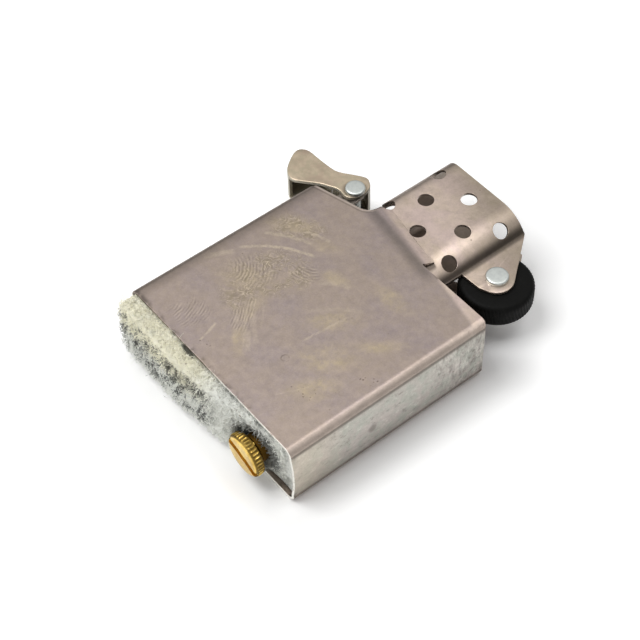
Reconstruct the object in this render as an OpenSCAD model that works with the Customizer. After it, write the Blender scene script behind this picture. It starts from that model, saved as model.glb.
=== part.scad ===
// Inside unit of a flip-top petrol lighter, out of its outer case and lying on its broad back face.
// +Z is out of the front face, +Y points to the chimney and +X to the flint wheel.
// The origin is the centre of the tank's back face.

/* [Tank] */
// Width over the bowed narrow sides
tank_w = 36; // [32:0.5:42]
// Thickness over the broad faces
tank_t = 11.2; // [10.4:0.1:13]
// Height of the wheel-side top edge above the felt end
tank_h = 33; // [30:0.5:40]
// Thickness of the shell's steel sheet
sheet = 0.45; // [0.3:0.05:0.5]
// How far the narrow sides bow out
side_bulge = 0.8; // [0.5:0.1:1.2]
// Outside radius of the long edges
edge_r = 1.3; // [1:0.1:1.8]
// How far the round long edges stand out from the narrow sides
bead = 0.1; // [0.02:0.02:0.2]
// How far the cam-side top edge lies below the wheel-side one
lip_drop = 2.1; // [1.5:0.1:2.5]
// Rise of the cam-side top edge towards the chimney, in degrees
lip_tilt = 15; // [8:1:20]
// Width of the rolled rim beside the flint wheel
rim_w = 1.1; // [0.8:0.1:1.4]

/* [Chimney] */
// Height of the chimney above the wheel-side top edge
chimney_h = 16.8; // [15:0.2:20]
// Half width of the chimney, from the centre line to its cam-side wall
chimney_left = 9; // [8:0.1:9.6]
// Step inwards from the tank's faces to the chimney's faces
chimney_inset = 0.5; // [0.5:0.05:0.8]
// Outside radius of the chimney's cam-side bends
bend_r = 2; // [1.4:0.1:2.4]
// Outside radius of the long bend that leads to the wheel's ears
curve_r = 5.4; // [5.2:0.1:5.8]
// Where that bend starts, from the centre line
curve_x = 2.55; // [2.2:0.05:2.8]
// Height of the step at the centre line above the wheel-side top edge
step_rise = 1.9; // [1.6:0.1:2.4]
// Fall of the step towards the wheel, in degrees
step_tilt = 10.8; // [8:0.2:12]
// Half length of the slope across the step
step_half = 0.6; // [0.4:0.1:0.8]
// Radius of the soft edges above and below the slope
step_r = 1.4; // [0.8:0.1:1.6]
// Height of the opening in the cam-side wall above the wheel-side top edge
window_h = 7.4; // [6:0.2:9]
// Radius of a wind hole
hole_r = 1.2; // [0.9:0.05:1.3]
// Pitch of the rows of wind holes
hole_pitch = 4.8; // [4.2:0.1:5]
// Height of the lowest row above the wheel-side top edge
hole_rise = 3.9; // [3.7:0.1:4.4]

/* [Flint wheel] */
// Distance of the wheel's axis from the tank's wheel-side face
wheel_in = 7.2; // [6.8:0.1:8]
// Height of the wheel's axis above the wheel-side top edge
wheel_rise = 8.2; // [7.8:0.1:9]
// Radius of the wheel
wheel_r = 5.4; // [4.8:0.1:5.6]
// Thickness of the wheel
wheel_t = 3.8; // [3:0.1:4.4]
// Number of teeth round the wheel
wheel_teeth = 44; // [30:1:60]
// Depth of a tooth
tooth_depth = 0.16; // [0.1:0.02:0.3]
// Radius of the rounded shoulders
shoulder_r = 0.9; // [0.5:0.1:1.2]
// Radius of the wheel's rivet
wheel_pin_r = 1; // [0.8:0.05:1.2]
// Radius of its heads
wheel_head_r = 1.65; // [1.4:0.05:2]
// Space between the wheel and an ear
ear_gap = 0.12; // [0.08:0.02:0.2]

/* [Lid cam] */
// Distance of the cam's pivot from the tank's cam-side face
cam_in = 3.3; // [3:0.1:3.6]
// Height of the cam's pivot above the wheel-side top edge
cam_rise = 3.85; // [3.6:0.05:4.2]
// Thickness over the folded cam
cam_t = 5; // [4.6:0.1:5.4]
// Thickness of the cam's sheet
cam_sheet = 0.5; // [0.4:0.05:0.6]
// Radius of the cam's rivet
cam_pin_r = 0.9; // [0.7:0.05:1]
// Radius of its heads
cam_head_r = 1.5; // [1.3:0.05:1.7]
// Thickness of the leaf spring under the cam
leaf_t = 0.25; // [0.15:0.05:0.3]
// Width of the leaf spring's tongue
leaf_w = 2.3; // [1.8:0.1:2.5]

/* [Flint feed] */
// Outside radius of the brass tube
tube_r = 2; // [1.9:0.05:2.2]
// Radius of the flint's bore
flint_bore_r = 1.3; // [1.2:0.05:1.4]
// Radius of the threaded bore at the felt end
thread_bore_r = 1.55; // [1.5:0.05:1.7]
// Length of thread in use
thread_l = 5; // [3:0.5:6]
// Space between the tube's end and the wheel
wheel_space = 0.4; // [0.3:0.05:0.8]
// Length of a new flint
flint_l = 5; // [3:0.5:6]
// Length of the plunger behind the flint
plunger_l = 3; // [2:0.5:4]
// Outside radius of the spring
spring_r = 1.12; // [1:0.02:1.14]
// Thickness of the spring wire
spring_wire = 0.36; // [0.3:0.02:0.4]
// Pitch of the spring's curls
spring_pitch = 0.85; // [0.8:0.05:1.5]
// Radius of the screw's head
screw_head_r = 3.5; // [3:0.1:3.8]
// Thickness of the screw's head
screw_head_t = 1.8; // [1.4:0.1:2.2]
// Number of flutes round the screw's head
screw_flutes = 26; // [16:1:36]
// Distance of the screw's head below the felt end
screw_drop = 1.2; // [1:0.1:1.6]

/* [Fuel parts] */
// Radius of the wick
wick_r = 1.5; // [1.2:0.1:1.6]
// Height of the wick's top above the wheel-side top edge
wick_rise = 9.6; // [8:0.2:12]
// Radius of a cotton ball
cotton_r = 4.25; // [4:0.05:4.4]
// Thickness of a cotton ball
cotton_t = 9.4; // [8.6:0.2:9.6]
// Rows of cotton balls
cotton_rows = 3; // [2:1:3]
// How far the felt reaches into the tank
felt_in = 1.6; // [1.2:0.1:2]
// How far the felt's flap stands out at the cam side
felt_out = 2.6; // [1.6:0.1:2.8]
// Distance of the felt's fold from the centre line
fold_x = 3.9; // [3:0.1:5]

/* [Hidden] */
$fn = 48;

// Clearances
seated = 0.02;
running = 0.05;
loose = 0.1;
soft = 0.3;
past = 1;
// How far two smooth faces that join are pressed past each other
join = 0.003;

// The tank's outline, seen along Y, about the mid-plane
half_w = tank_w / 2;
half_t = tank_t / 2;
bulge_r = (half_t * half_t + side_bulge * side_bulge) / (2 * side_bulge);
bulge_x = half_w - bulge_r;
corner_z = half_t - edge_r;
corner_x = bulge_x + sqrt(pow(bulge_r - edge_r, 2) - corner_z * corner_z) + bead;

// Heights along Y, from the felt end
lip_y = tank_h - lip_drop;
chimney_top = tank_h + chimney_h;
step_y = tank_h + step_rise;
step_slant = atan(chimney_inset / (2 * step_half));
step_soft = step_r * tan(step_slant / 2);
deck_t = sheet;
deck_drop = 0.35;
deck_top = lip_y - deck_drop;
deck_skirt = 2.4;
collar_h = 1.2;
window_top = tank_h + window_h;

// The cam-side top edge, and where it sweeps up to the chimney
neck_in = 1.45;
neck_x = neck_in - chimney_left;
neck_r = 2.4;
corner_r = 1.2;
slit_x = 4.6;
skirt = 1.4;
skirt_y = tank_h - skirt;

// The chimney's outline, seen along Y
chimney_z = half_t - chimney_inset;
window_z = chimney_z - bend_r;
ear_in = wheel_t / 2 + ear_gap;
ear_out = ear_in + sheet;
ear_fillet = 0.6;
ear_x = curve_x + sqrt(pow(curve_r - sheet, 2) - pow(ear_out - chimney_z + curve_r, 2));
ear_z = ear_out + ear_fillet;
ear_reach = [sqrt(pow(curve_r + ear_fillet, 2) - pow(ear_z - chimney_z + curve_r, 2)),
    ear_z - chimney_z + curve_r];
ear_touch = [curve_x, chimney_z - curve_r] + curve_r / (curve_r + ear_fillet) * ear_reach;
wheel_x = half_w - wheel_in;
wheel_y = tank_h + wheel_rise;
ear_r = 2.6;
ear_drop = 0.2;
ear_flare = wheel_x - ear_touch[0];
ear_top_r = 0.5;
ear_foot_r = 0.8;
ear_foot = 2.5;
ear_belly = [0.8, 0.7, 0.15];
cam_side_rise = 1.9;
row_x = [0.65 * bend_r - chimney_left, -1, curve_x + 0.583 * curve_r];
mid_x = [-4.8, 3];

// Wheel and feed
head_h = 0.65;
tube_top = wheel_y - wheel_r - wheel_space;
head_space = 0.2;
thread_spare = 1.5;
tube_bottom = head_space - screw_drop;
thread_end = tube_bottom + thread_l + thread_spare;
flint_top = wheel_y - wheel_r - loose;
plunger_top = flint_top - flint_l - loose;
plunger_neck = 1.5;
stub_l = 1.2;
screw_top = -screw_drop + thread_l;
spring_low = screw_top + loose;
spring_high = plunger_top - plunger_l - loose;
spring_l = spring_high - spring_low;
spring_mid_r = spring_r - spring_wire / 2;
spring_turns = (spring_l - spring_wire) / spring_pitch;

// Cam
cam_x = -(half_w - cam_in);
cam_y = tank_h + cam_rise;
lug_out = cam_t / 2 - cam_sheet - loose;
lug_in = lug_out - deck_t;
lug_r = 1.4;
lug_foot_r = 0.9;
lug_foot = [0.1, 1.2];
knee_out = 2.9;
tip_out = -2.1;
tip_drop = 2.55;
cam_outline = [[1.5, 0.4], [1, 1.95], [0.1, 2.65], [-0.9, 2.85], [-2.6, 1.8], [-3.8, 0.9],
    [-5.2, 0.25], [-8, 0], [-10.5, -0.1], [-11.7, -0.8], [-11.8, -2], [-10.8, -3.7],
    [-9.8, -4.9], [-8.6, -5.6], [-7.4, -5.6], [-6.2, -4.7], [-4.4, -3.2], [-3, -2.4],
    [-1.6, -1.8], [0.2, -1.9], [1.2, -1]];
cam_open = [[-8.4, -8], [3, -8], [3, 1.4], [0, 1.4], [-1.5, -0.4], [-5.5, -1.8], [-8.4, -3.6]];

// Wick and cotton
wick_shift = 0.95;
wick_x = curve_x + wick_shift - chimney_left / 2;
wick_low_x = -4.6;
wick_bend_r = 4;
wick_bend = acos(1 - (wick_x - wick_low_x) / (2 * wick_bend_r));
wick_lead = 0.6;
wick_bend_y = deck_top - wick_lead;
wick_rest = 2;
wick_low = felt_in + wick_rest;
wick_top = tank_h + wick_rise;
cotton_low = felt_in + soft;
cotton_room = deck_top - deck_skirt - loose - cotton_low;
disc_r = min(cotton_r, (cotton_room / cotton_rows - soft) / 2);
cotton_side = 1.25;
cotton_gap = 0.5;
cotton_x = [-half_w + disc_r + cotton_side, wheel_x - tube_r - cotton_gap - disc_r];
cotton_first = cotton_low + disc_r;
cotton_pitch = 2 * disc_r + soft;

// Felt
felt_gap = soft;
felt_r = 0.8;
fold_sink = 0.9;
fold_y = fold_sink - felt_out;
pad_side_y = 0.5;

// Heights of the step line and of the cam-side edge at a place across the tank
function step_line(x) = step_y - tan(step_tilt) * x;
function lip_line(x) = lip_y + tan(lip_tilt) * (x + half_w);

// Depth and slope of the chimney's face at a place across it
function face_z(x) = x > curve_x ? chimney_z - curve_r + sqrt(pow(curve_r, 2) - pow(x - curve_x, 2))
    : x < bend_r - chimney_left
    ? chimney_z - bend_r + sqrt(pow(bend_r, 2) - pow(x - bend_r + chimney_left, 2)) : chimney_z;
function face_tilt(x) = x > curve_x ? asin((x - curve_x) / curve_r)
    : x < bend_r - chimney_left ? asin((x - bend_r + chimney_left) / bend_r) : 0;

// Outward normal of the common tangent of two circles, each given as [x, y, radius]
function tangent_normal(a, b) =
    let (gap = [b[0] - a[0], b[1] - a[1]])
    let (u = gap / norm(gap), s = (a[2] - b[2]) / norm(gap))
    [u[1], -u[0]] * sqrt(1 - s * s) + u * s;

// Closed smooth curve through the points of a list
function bow(p, q, r, s, t) = 0.5 * (2 * q + (r - p) * t + (2 * p - 5 * q + 4 * r - s) * t * t
    + (3 * q - p - 3 * r + s) * t * t * t);
function smooth(list, steps) = [for (i = [0 : len(list) - 1], k = [0 : steps - 1])
    let (n = len(list))
    bow(list[(i + n - 1) % n], list[i], list[(i + 1) % n], list[(i + 2) % n], k / steps)];

// The same closed curve, drawn in by a distance
function drawn_in(list, by) = [for (i = [0 : len(list) - 1])
    let (n = len(list), d = list[(i + 1) % n] - list[(i + n - 1) % n])
    list[i] + by * [-d[1], d[0]] / norm(d)];

// Faces of a closed tube whose points come ring by ring
function tube_faces(rings, sides) = [
    for (i = [0 : rings - 2], k = [0 : sides - 1])
        let (a = i * sides + k, b = i * sides + (k + 1) % sides)
        each [[a, b, b + sides], [a, b + sides, a + sides]],
    for (k = [1 : sides - 2]) [0, k + 1, k],
    for (k = [1 : sides - 2], last = (rings - 1) * sides) [last, last + k, last + k + 1]];

module seat() {
    translate([0, -tank_h / 2, half_t]) children();
}

module both_sides() {
    children();
    mirror([0, 0, 1]) children();
}

// Extrudes an outline drawn in X and Z from y0 to y1
module along_y(y0, y1) {
    translate([0, y1, 0]) rotate([90, 0, 0]) linear_extrude(y1 - y0) children();
}

// Extrudes an outline drawn in X and Y from z0 to z1
module along_z(z0, z1) {
    translate([0, 0, z0]) linear_extrude(z1 - z0) children();
}

// Turns a profile drawn as radius and length round an axis along Y
module turned_y(x, y) {
    translate([x, y, 0]) rotate([-90, 0, 0]) rotate_extrude() children();
}

// Circles joined by their outer tangents, listed counterclockwise
module tangent_outline(circles) {
    n = len(circles);
    for (c = circles) {
        translate([c[0], c[1]]) circle(r = c[2]);
    }
    polygon([for (i = [0 : n - 1], k = [0, 1])
        let (a = circles[i], b = circles[(i + 1) % n], m = tangent_normal(a, b), c = k == 0 ? a : b)
        [c[0] + c[2] * m[0], c[1] + c[2] * m[1]]]);
}

// What a round corner takes away, with the corner at the origin and the body below and left of it
module corner_cut(r) {
    difference() {
        translate([-r, -r]) square(r + past);
        translate([-r, -r]) circle(r = r);
    }
}

// The tank seen along Y, drawn in by a distance
module tank_profile(by) {
    side_r = bulge_r - by;
    round_r = max(edge_r - by, 1.5 * bead);
    square([2 * corner_x, 2 * (corner_z + round_r)], center = true);
    for (sx = [-1, 1]) {
        for (sz = [-1, 1]) {
            translate([sx * corner_x, sz * corner_z]) circle(r = round_r);
        }
        intersection() {
            translate([sx * bulge_x, 0]) circle(r = side_r, $fn = 180);
            translate([sx * half_w / 2, 0])
                square([half_w, 2 * corner_z * side_r / (bulge_r - edge_r)], center = true);
        }
    }
}

// The tank's faces seen along Z: the wheel-side edge, the step and the cam-side sweep
module tank_face() {
    low = (step_half + step_soft + sheet / 4) / cos(step_tilt);
    meet_x = (step_rise - low) / tan(step_tilt);
    neck_low = lip_line(neck_x);
    sweep_end = 10;
    sweep_x = neck_x - neck_r * cos(sweep_end);
    sweep_y = lip_line(sweep_x) + neck_r / cos(lip_tilt) - join;
    sweep_top = sweep_y - neck_r * sin(sweep_end);
    reach = neck_r + sheet;
    difference() {
        polygon([[-half_w - past, -past], [half_w + past, -past], [half_w + past, tank_h],
            [meet_x, tank_h], [neck_x, step_line(neck_x) - low], [neck_x, neck_low],
            [-half_w - past, lip_line(-half_w - past)]]);
        translate([half_w, tank_h]) corner_cut(corner_r);
        translate([-half_w, lip_y]) mirror([1, 0]) corner_cut(corner_r);
    }
    difference() {
        polygon([[neck_x + sheet, neck_low - sheet], [neck_x + sheet, sweep_top - sheet],
            [neck_x, sweep_top + loose], [sweep_x, sweep_y],
            [sweep_x + reach * sin(lip_tilt), sweep_y - reach * cos(lip_tilt)]]);
        translate([sweep_x, sweep_y]) circle(r = neck_r);
    }
}

// The sheet of the chimney and the wheel's ears, seen along Y
module chimney_profile(by) {
    translate([bend_r - chimney_left, by - chimney_z])
        square([curve_x - bend_r + chimney_left, 2 * (chimney_z - by)]);
    translate([by - chimney_left, -window_z]) square([bend_r, 2 * window_z]);
    for (sz = [-1, 1]) {
        translate([bend_r - chimney_left, sz * window_z]) circle(r = bend_r - by);
    }
    intersection() {
        translate([curve_x, chimney_z - curve_r]) circle(r = curve_r - by, $fn = 96);
        translate([curve_x, curve_r - chimney_z]) circle(r = curve_r - by, $fn = 96);
        translate([curve_x, -chimney_z]) square([curve_r, 2 * chimney_z]);
    }
}

module ear_profile() {
    fillet_x = curve_x + ear_reach[0];
    middle = [curve_x, chimney_z - curve_r];
    inside = 0.97;
    under = ear_out - sheet / 3;
    translate([ear_x, ear_in]) square([half_w - ear_x, sheet]);
    difference() {
        polygon([middle + inside * (ear_touch - middle), [ear_touch[0] - sheet, under],
            [fillet_x, under], [fillet_x, ear_out + join], ear_touch + [sheet / 3, 0]]);
        translate([fillet_x, ear_z]) circle(r = ear_fillet + join);
    }
}

// The chimney's faces seen along Z, with the ears
module chimney_face() {
    high = step_half / cos(step_tilt);
    bend_x = ear_touch[0] + sheet / 2;
    polygon([[-chimney_left - past, chimney_top], [-chimney_left - past, step_line(neck_x) + cam_side_rise],
        [neck_x, step_line(neck_x) - high], [neck_x, step_line(neck_x) + high],
        [slit_x, step_line(slit_x) + high], [slit_x, skirt_y], [bend_x, skirt_y], [bend_x, chimney_top]]);
    tangent_outline([[wheel_x, wheel_y - ear_drop, ear_r],
        [wheel_x - ear_flare, chimney_top - ear_top_r, ear_top_r],
        [wheel_x - ear_flare, wheel_y - ear_foot, ear_foot_r],
        [wheel_x - ear_belly[0], wheel_y - ear_belly[1], ear_r - ear_belly[2]]]);
}

module wind_hole(x, y) {
    translate([x, y, face_z(x)]) rotate([0, face_tilt(x), 0])
        cylinder(h = 6 * sheet, r = hole_r, center = true);
}

module wind_holes() {
    for (x = row_x, k = [0, 2]) {
        wind_hole(x, tank_h + hole_rise + k * hole_pitch);
    }
    for (x = mid_x) {
        wind_hole(x, tank_h + hole_rise + hole_pitch);
    }
}

module chimney() {
    difference() {
        intersection() {
            along_y(skirt_y, chimney_top) {
                difference() {
                    chimney_profile(0);
                    chimney_profile(sheet);
                    square([4 * half_w, 2 * ear_in], center = true);
                }
                difference() {
                    chimney_profile(0);
                    chimney_profile(sheet);
                    translate([0, -half_t]) square([half_w, tank_t]);
                }
                ear_profile();
                mirror([0, 1]) ear_profile();
            }
            along_z(-half_t, half_t) chimney_face();
        }
        translate([-chimney_left - past, skirt_y - past, -window_z])
            cube([bend_r + past - sheet, window_top - skirt_y + past - window_z, 2 * window_z]);
        translate([-chimney_left - past, window_top - window_z, 0]) rotate([0, 90, 0])
            cylinder(h = bend_r + past - sheet, r = window_z);
        translate([wheel_x, wheel_y, 0]) cylinder(h = tank_t, r = wheel_pin_r + seated, center = true);
    }
}

// The slope that joins a tank face to the chimney's face, with soft edges above and below
module step_slope() {
    lap = 0.4;
    under = 0.35;
    bends = 5;
    far = step_half + step_soft;
    above = [for (k = [0 : bends]) let (a = k * step_slant / bends)
        [step_r * sin(a) - far, half_t - join - step_r * (1 - cos(a))]];
    below = [for (k = [bends : -1 : 0]) let (a = k * step_slant / bends)
        [far - step_r * sin(a), chimney_z - join + step_r * (1 - cos(a))]];
    intersection() {
        translate([neck_x, step_line(neck_x), 0]) rotate([0, 0, -step_tilt]) rotate([90, 0, 90])
            translate([0, 0, -past]) linear_extrude((slit_x - neck_x) / cos(step_tilt) + past)
                polygon(concat([[-far - lap, half_t - join]], above, below,
                    [[far, chimney_z - sheet - under], [-far - lap, half_t - 1.1 * sheet]]));
        translate([neck_x - seated, tank_h - past, 0]) cube([half_w, chimney_h, half_t + past]);
    }
}

module insert_shell() {
    color("#a89b92") seat() {
        intersection() {
            along_y(0, tank_h + chimney_h) difference() {
                tank_profile(0);
                tank_profile(sheet);
            }
            along_z(-half_t, half_t) tank_face();
        }
        intersection() {
            along_y(tank_h - sheet, tank_h) difference() {
                tank_profile(0);
                tank_profile(rim_w);
            }
            along_z(-half_t, half_t) intersection() {
                tank_face();
                translate([wheel_x - tube_r, 0]) square([half_w, chimney_top]);
            }
        }
        difference() {
            union() {
                chimney();
                both_sides() step_slope();
            }
            both_sides() wind_holes();
        }
    }
}

module top_plate() {
    fit = sheet + seated;
    tongue_x = -1.4;
    tongue_l = 5;
    front_x = -2.4;
    front_l = 1;
    color("#9a928a") seat() {
        difference() {
            along_y(deck_top - deck_skirt, deck_top) tank_profile(fit);
            along_y(deck_top - deck_skirt - past, deck_top - deck_t) tank_profile(fit + deck_t);
            turned_y(wick_x, deck_top - past) square([wick_r + soft, 2 * past]);
            turned_y(wheel_x, deck_top - past) square([tube_r + seated, 2 * past]);
            translate([cam_x + tongue_x, deck_top - past, -leaf_w / 2 - loose])
                cube([tongue_l, 2 * past, leaf_w + 2 * loose]);
            translate([cam_x + front_x, deck_top - past, -cam_t / 2]) cube([front_l, 2 * past, cam_t]);
        }
        turned_y(wick_x, deck_top - deck_t) translate([wick_r + soft, 0]) square([deck_t, collar_h]);
        both_sides() difference() {
            along_z(lug_in, lug_out) intersection() {
                tangent_outline([[cam_x, cam_y, lug_r], [cam_x + lug_foot[0], deck_top, lug_foot_r],
                    [cam_x + lug_foot[1], deck_top, lug_foot_r]]);
                translate([cam_x - 2 * lug_r, deck_top - deck_t]) square(2 * lug_r + cam_y);
            }
            translate([cam_x, cam_y, 0]) cylinder(h = tank_t, r = cam_pin_r + seated, center = true);
        }
    }
}

module lid_cam() {
    outline = smooth(cam_outline, 4);
    inner = cam_t / 2 - cam_sheet;
    color("#a8947f") seat() translate([cam_x, cam_y, 0]) difference() {
        along_z(-cam_t / 2, cam_t / 2) polygon(outline);
        along_z(-inner, inner) {
            polygon(drawn_in(outline, cam_sheet));
            polygon(cam_open);
        }
        cylinder(h = tank_t, r = cam_pin_r + running, center = true);
    }
}

// A rivet along Z through the origin, with a low dome on each end
module rivet(r, head_r, grip) {
    dome_r = (head_r * head_r + head_h * head_h) / (2 * head_h);
    cylinder(h = 2 * grip + 2 * seated, r = r, center = true);
    both_sides() intersection() {
        translate([0, 0, grip + seated]) cylinder(h = head_h, r = head_r);
        translate([0, 0, grip + seated + head_h - dome_r]) sphere(r = dome_r, $fn = 96);
    }
}

module cam_rivet() {
    color("#cdd6d8") seat() translate([cam_x, cam_y, 0]) rivet(cam_pin_r, cam_head_r, cam_t / 2);
}

module wheel_rivet() {
    color("#cdd6d8") seat() translate([wheel_x, wheel_y, 0]) rivet(wheel_pin_r, wheel_head_r, ear_out);
}

module cam_spring() {
    under = deck_top - deck_t - seated - leaf_t / 2;
    knee = [cam_x + knee_out, under];
    tip = [cam_x + tip_out, cam_y - tip_drop];
    wick_room = 1.6;
    paddle = 5;
    root = [wick_x - wick_r - wick_room, under];
    half = leaf_t / 2;
    color("#8f8c86") seat() {
        along_z(-leaf_w / 2, leaf_w / 2) {
            tangent_outline([[root[0], root[1], half], [knee[0], knee[1], half]]);
            tangent_outline([[knee[0], knee[1], half], [tip[0], tip[1], half]]);
        }
        along_z(-cam_t / 2 + loose, cam_t / 2 - loose) intersection() {
            tangent_outline([[knee[0], knee[1], half], [tip[0], tip[1], half]]);
            translate([cam_x - paddle, cam_y - paddle]) square([paddle - lug_r - loose, paddle]);
        }
    }
}

module flint_wheel() {
    core_r = wheel_r - tooth_depth;
    flat = wheel_t / 2 - shoulder_r;
    points = [for (i = [0 : wheel_teeth - 1], k = [0, 1])
        let (a = (i + 0.35 * k) * 360 / wheel_teeth, r = k == 0 ? core_r - seated : wheel_r)
        [r * cos(a), r * sin(a)]];
    color("#242424") seat() translate([wheel_x, wheel_y, 0]) difference() {
        union() {
            along_z(-flat, flat) polygon(points);
            rotate_extrude() {
                translate([0, -wheel_t / 2]) square([core_r - shoulder_r, wheel_t]);
                translate([0, -flat]) square([core_r, 2 * flat]);
                for (s = [-1, 1]) {
                    translate([core_r - shoulder_r, s * flat]) circle(r = shoulder_r);
                }
            }
        }
        cylinder(h = tank_t, r = wheel_pin_r + running, center = true);
    }
}

module flint_tube() {
    length = tube_top - tube_bottom;
    chamfer = 0.35;
    color("#b08a3c") seat() turned_y(wheel_x, tube_bottom) difference() {
        square([tube_r, length]);
        translate([0, -past]) square([flint_bore_r, length + 2 * past]);
        translate([0, -past]) square([thread_bore_r, thread_end - tube_bottom + past]);
        translate([tube_r, length]) rotate([0, 0, 45]) square(sqrt(2) * chamfer, center = true);
    }
}

module flint() {
    color("#5c5c60") seat() turned_y(wheel_x, flint_top - flint_l)
        square([flint_bore_r - loose - running, flint_l]);
}

module flint_plunger() {
    neck_r = spring_mid_r - spring_wire / 2 - loose;
    color("#8f9092") seat() turned_y(wheel_x, plunger_top) mirror([0, 1]) {
        square([flint_bore_r - loose, plunger_l]);
        square([neck_r, plunger_l + plunger_neck]);
    }
}

// Rings of a round wire along a helix about Y, six sides and eight rings a curl
spring_sides = 6;
spring_rings = 8;
spring_count = floor(spring_turns * spring_rings);
spring_step = 360 / spring_rings;
spring_start = spring_low + spring_wire / 2;
spring_centres = [for (i = [0 : spring_count])
    [spring_mid_r * cos(i * spring_step), spring_start + i * spring_pitch / spring_rings,
        spring_mid_r * sin(i * spring_step)]];
spring_points = [for (i = [0 : spring_count], k = [0 : spring_sides - 1])
    let (a = i * spring_step, b = k * 360 / spring_sides)
    spring_centres[i] + spring_wire / 2 * (cos(b) * [cos(a), 0, sin(a)] + sin(b) * [0, 1, 0])];
// Least distance between a point of one curl and any centre of the next, less the wire's radius
spring_gap = min([for (i = [0 : spring_rings], j = [spring_rings / 2 : spring_rings * 3 / 2],
    k = [0 : spring_sides - 1]) norm(spring_points[i * spring_sides + k] - spring_centres[i + j])])
    - spring_wire / 2;
echo(spring_gap = spring_gap);

module flint_spring() {
    color("#b9b9b4") seat() translate([wheel_x, 0, 0])
        polyhedron(points = spring_points, faces = tube_faces(spring_count + 1, spring_sides));
}

module flint_screw() {
    dome_r = 14;
    slot_w = 1;
    slot_d = 0.7;
    slot_turn = 8;
    chamfer = 0.35;
    flute_r = 0.26;
    flute_out = 0.08;
    color("#c89632") seat() translate([wheel_x, -screw_drop, 0]) {
        difference() {
            intersection() {
                rotate([90, 0, 0]) cylinder(h = screw_head_t, r = screw_head_r);
                translate([0, dome_r - screw_head_t, 0]) sphere(r = dome_r, $fn = 180);
                rotate([90, 0, 0]) rotate_extrude() polygon([[0, 0], [screw_head_r - chamfer, 0],
                    [screw_head_r, chamfer], [screw_head_r, screw_head_t - 2 * chamfer],
                    [screw_head_r - 2 * chamfer, screw_head_t], [0, screw_head_t]]);
            }
            for (i = [0 : screw_flutes - 1]) {
                rotate([90, i * 360 / screw_flutes, 0]) translate([screw_head_r + flute_out, 0, -past])
                    cylinder(h = screw_head_t + 2 * past, r = flute_r, $fn = 16);
            }
            rotate([0, -slot_turn, 0]) translate([-screw_head_r - past, -screw_head_t - past, -slot_w / 2])
                cube([2 * screw_head_r + 2 * past, slot_d + past, slot_w]);
        }
        rotate([-90, 0, 0]) cylinder(h = thread_l, r = thread_bore_r - running);
        rotate([-90, 0, 0]) cylinder(h = thread_l + stub_l, r = spring_mid_r - spring_wire / 2 - loose);
    }
}

// The wick runs straight through the chimney, then swings aside between the cotton balls
wick_round = 0.4;
wick_sides = 12;
wick_bend_h = wick_bend_r * sin(wick_bend);
wick_path = concat(
    [[wick_x, wick_top, wick_r - wick_round], [wick_x, wick_top - wick_round, wick_r]],
    [for (i = [0 : 6]) let (a = i * wick_bend / 6)
        [wick_x - wick_bend_r * (1 - cos(a)), wick_bend_y - wick_bend_r * sin(a), wick_r]],
    [for (i = [5 : -1 : 0]) let (a = i * wick_bend / 6)
        [wick_low_x + wick_bend_r * (1 - cos(a)), wick_bend_y - 2 * wick_bend_h + wick_bend_r * sin(a),
            wick_r]],
    [[wick_low_x, wick_low, wick_r]]);
wick_points = [for (i = [0 : len(wick_path) - 1], k = [0 : wick_sides - 1])
    let (a = wick_path[max(i - 1, 0)], b = wick_path[min(i + 1, len(wick_path) - 1)], c = wick_path[i])
    let (d = [b[0] - a[0], b[1] - a[1]] / norm([b[0] - a[0], b[1] - a[1]]), t = k * 360 / wick_sides)
    [c[0] - c[2] * d[1] * cos(t), c[1] + c[2] * d[0] * cos(t), c[2] * sin(t)]];

module wick() {
    color("#cfc7b4") seat()
        polyhedron(points = wick_points, faces = tube_faces(len(wick_path), wick_sides));
}

// A cotton ball pressed between the broad faces, counted upwards from the felt, cam side first
module cotton_ball(i) {
    row = floor((i - 1) / 2);
    round_r = 0.7 * disc_r;
    side = disc_r - round_r;
    half = cotton_t / 2 - round_r;
    color("#e8e6de") seat() if (row < cotton_rows)
        translate([cotton_x[(i - 1) % 2], cotton_first + row * cotton_pitch, 0]) rotate_extrude() {
            translate([0, -cotton_t / 2]) square([side, cotton_t]);
            translate([0, -half]) square([disc_r, 2 * half]);
            for (s = [-1, 1]) {
                intersection() {
                    translate([side, s * half]) circle(r = round_r);
                    translate([0, -cotton_t / 2]) square([disc_r, cotton_t]);
                }
            }
        }
}

// The felt seen along Y, a little smaller than the tank's inside
module felt_profile() {
    tank_profile(sheet + felt_gap);
}

module felt_pad() {
    edge_x = half_w - sheet - felt_gap;
    color("#d8d4c4") seat() difference() {
        intersection() {
            along_y(-felt_out, felt_in) felt_profile();
            along_z(-half_t, half_t) polygon([[fold_x + soft / 2, fold_y], [edge_x, pad_side_y],
                [half_w, pad_side_y], [half_w, felt_in], [fold_x + soft / 2, felt_in]]);
        }
        turned_y(wheel_x, -felt_out - past) square([screw_head_r + soft, felt_out + past]);
        turned_y(wheel_x, -felt_out) square([tube_r + soft / 2, felt_in + felt_out + past]);
    }
}

module felt_flap() {
    edge_x = -half_w + sheet + felt_gap;
    flat_x = 3;
    color("#dcd6bc") seat() intersection() {
        along_y(-felt_out, felt_in) felt_profile();
        along_z(-half_t, half_t) difference() {
            polygon([[fold_x - soft / 2, fold_y], [fold_x - soft / 2, felt_in], [edge_x, felt_in],
                [edge_x, -felt_out], [-flat_x, -felt_out]]);
            translate([edge_x, -felt_out]) rotate([0, 0, 180]) corner_cut(felt_r);
        }
    }
}

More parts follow.
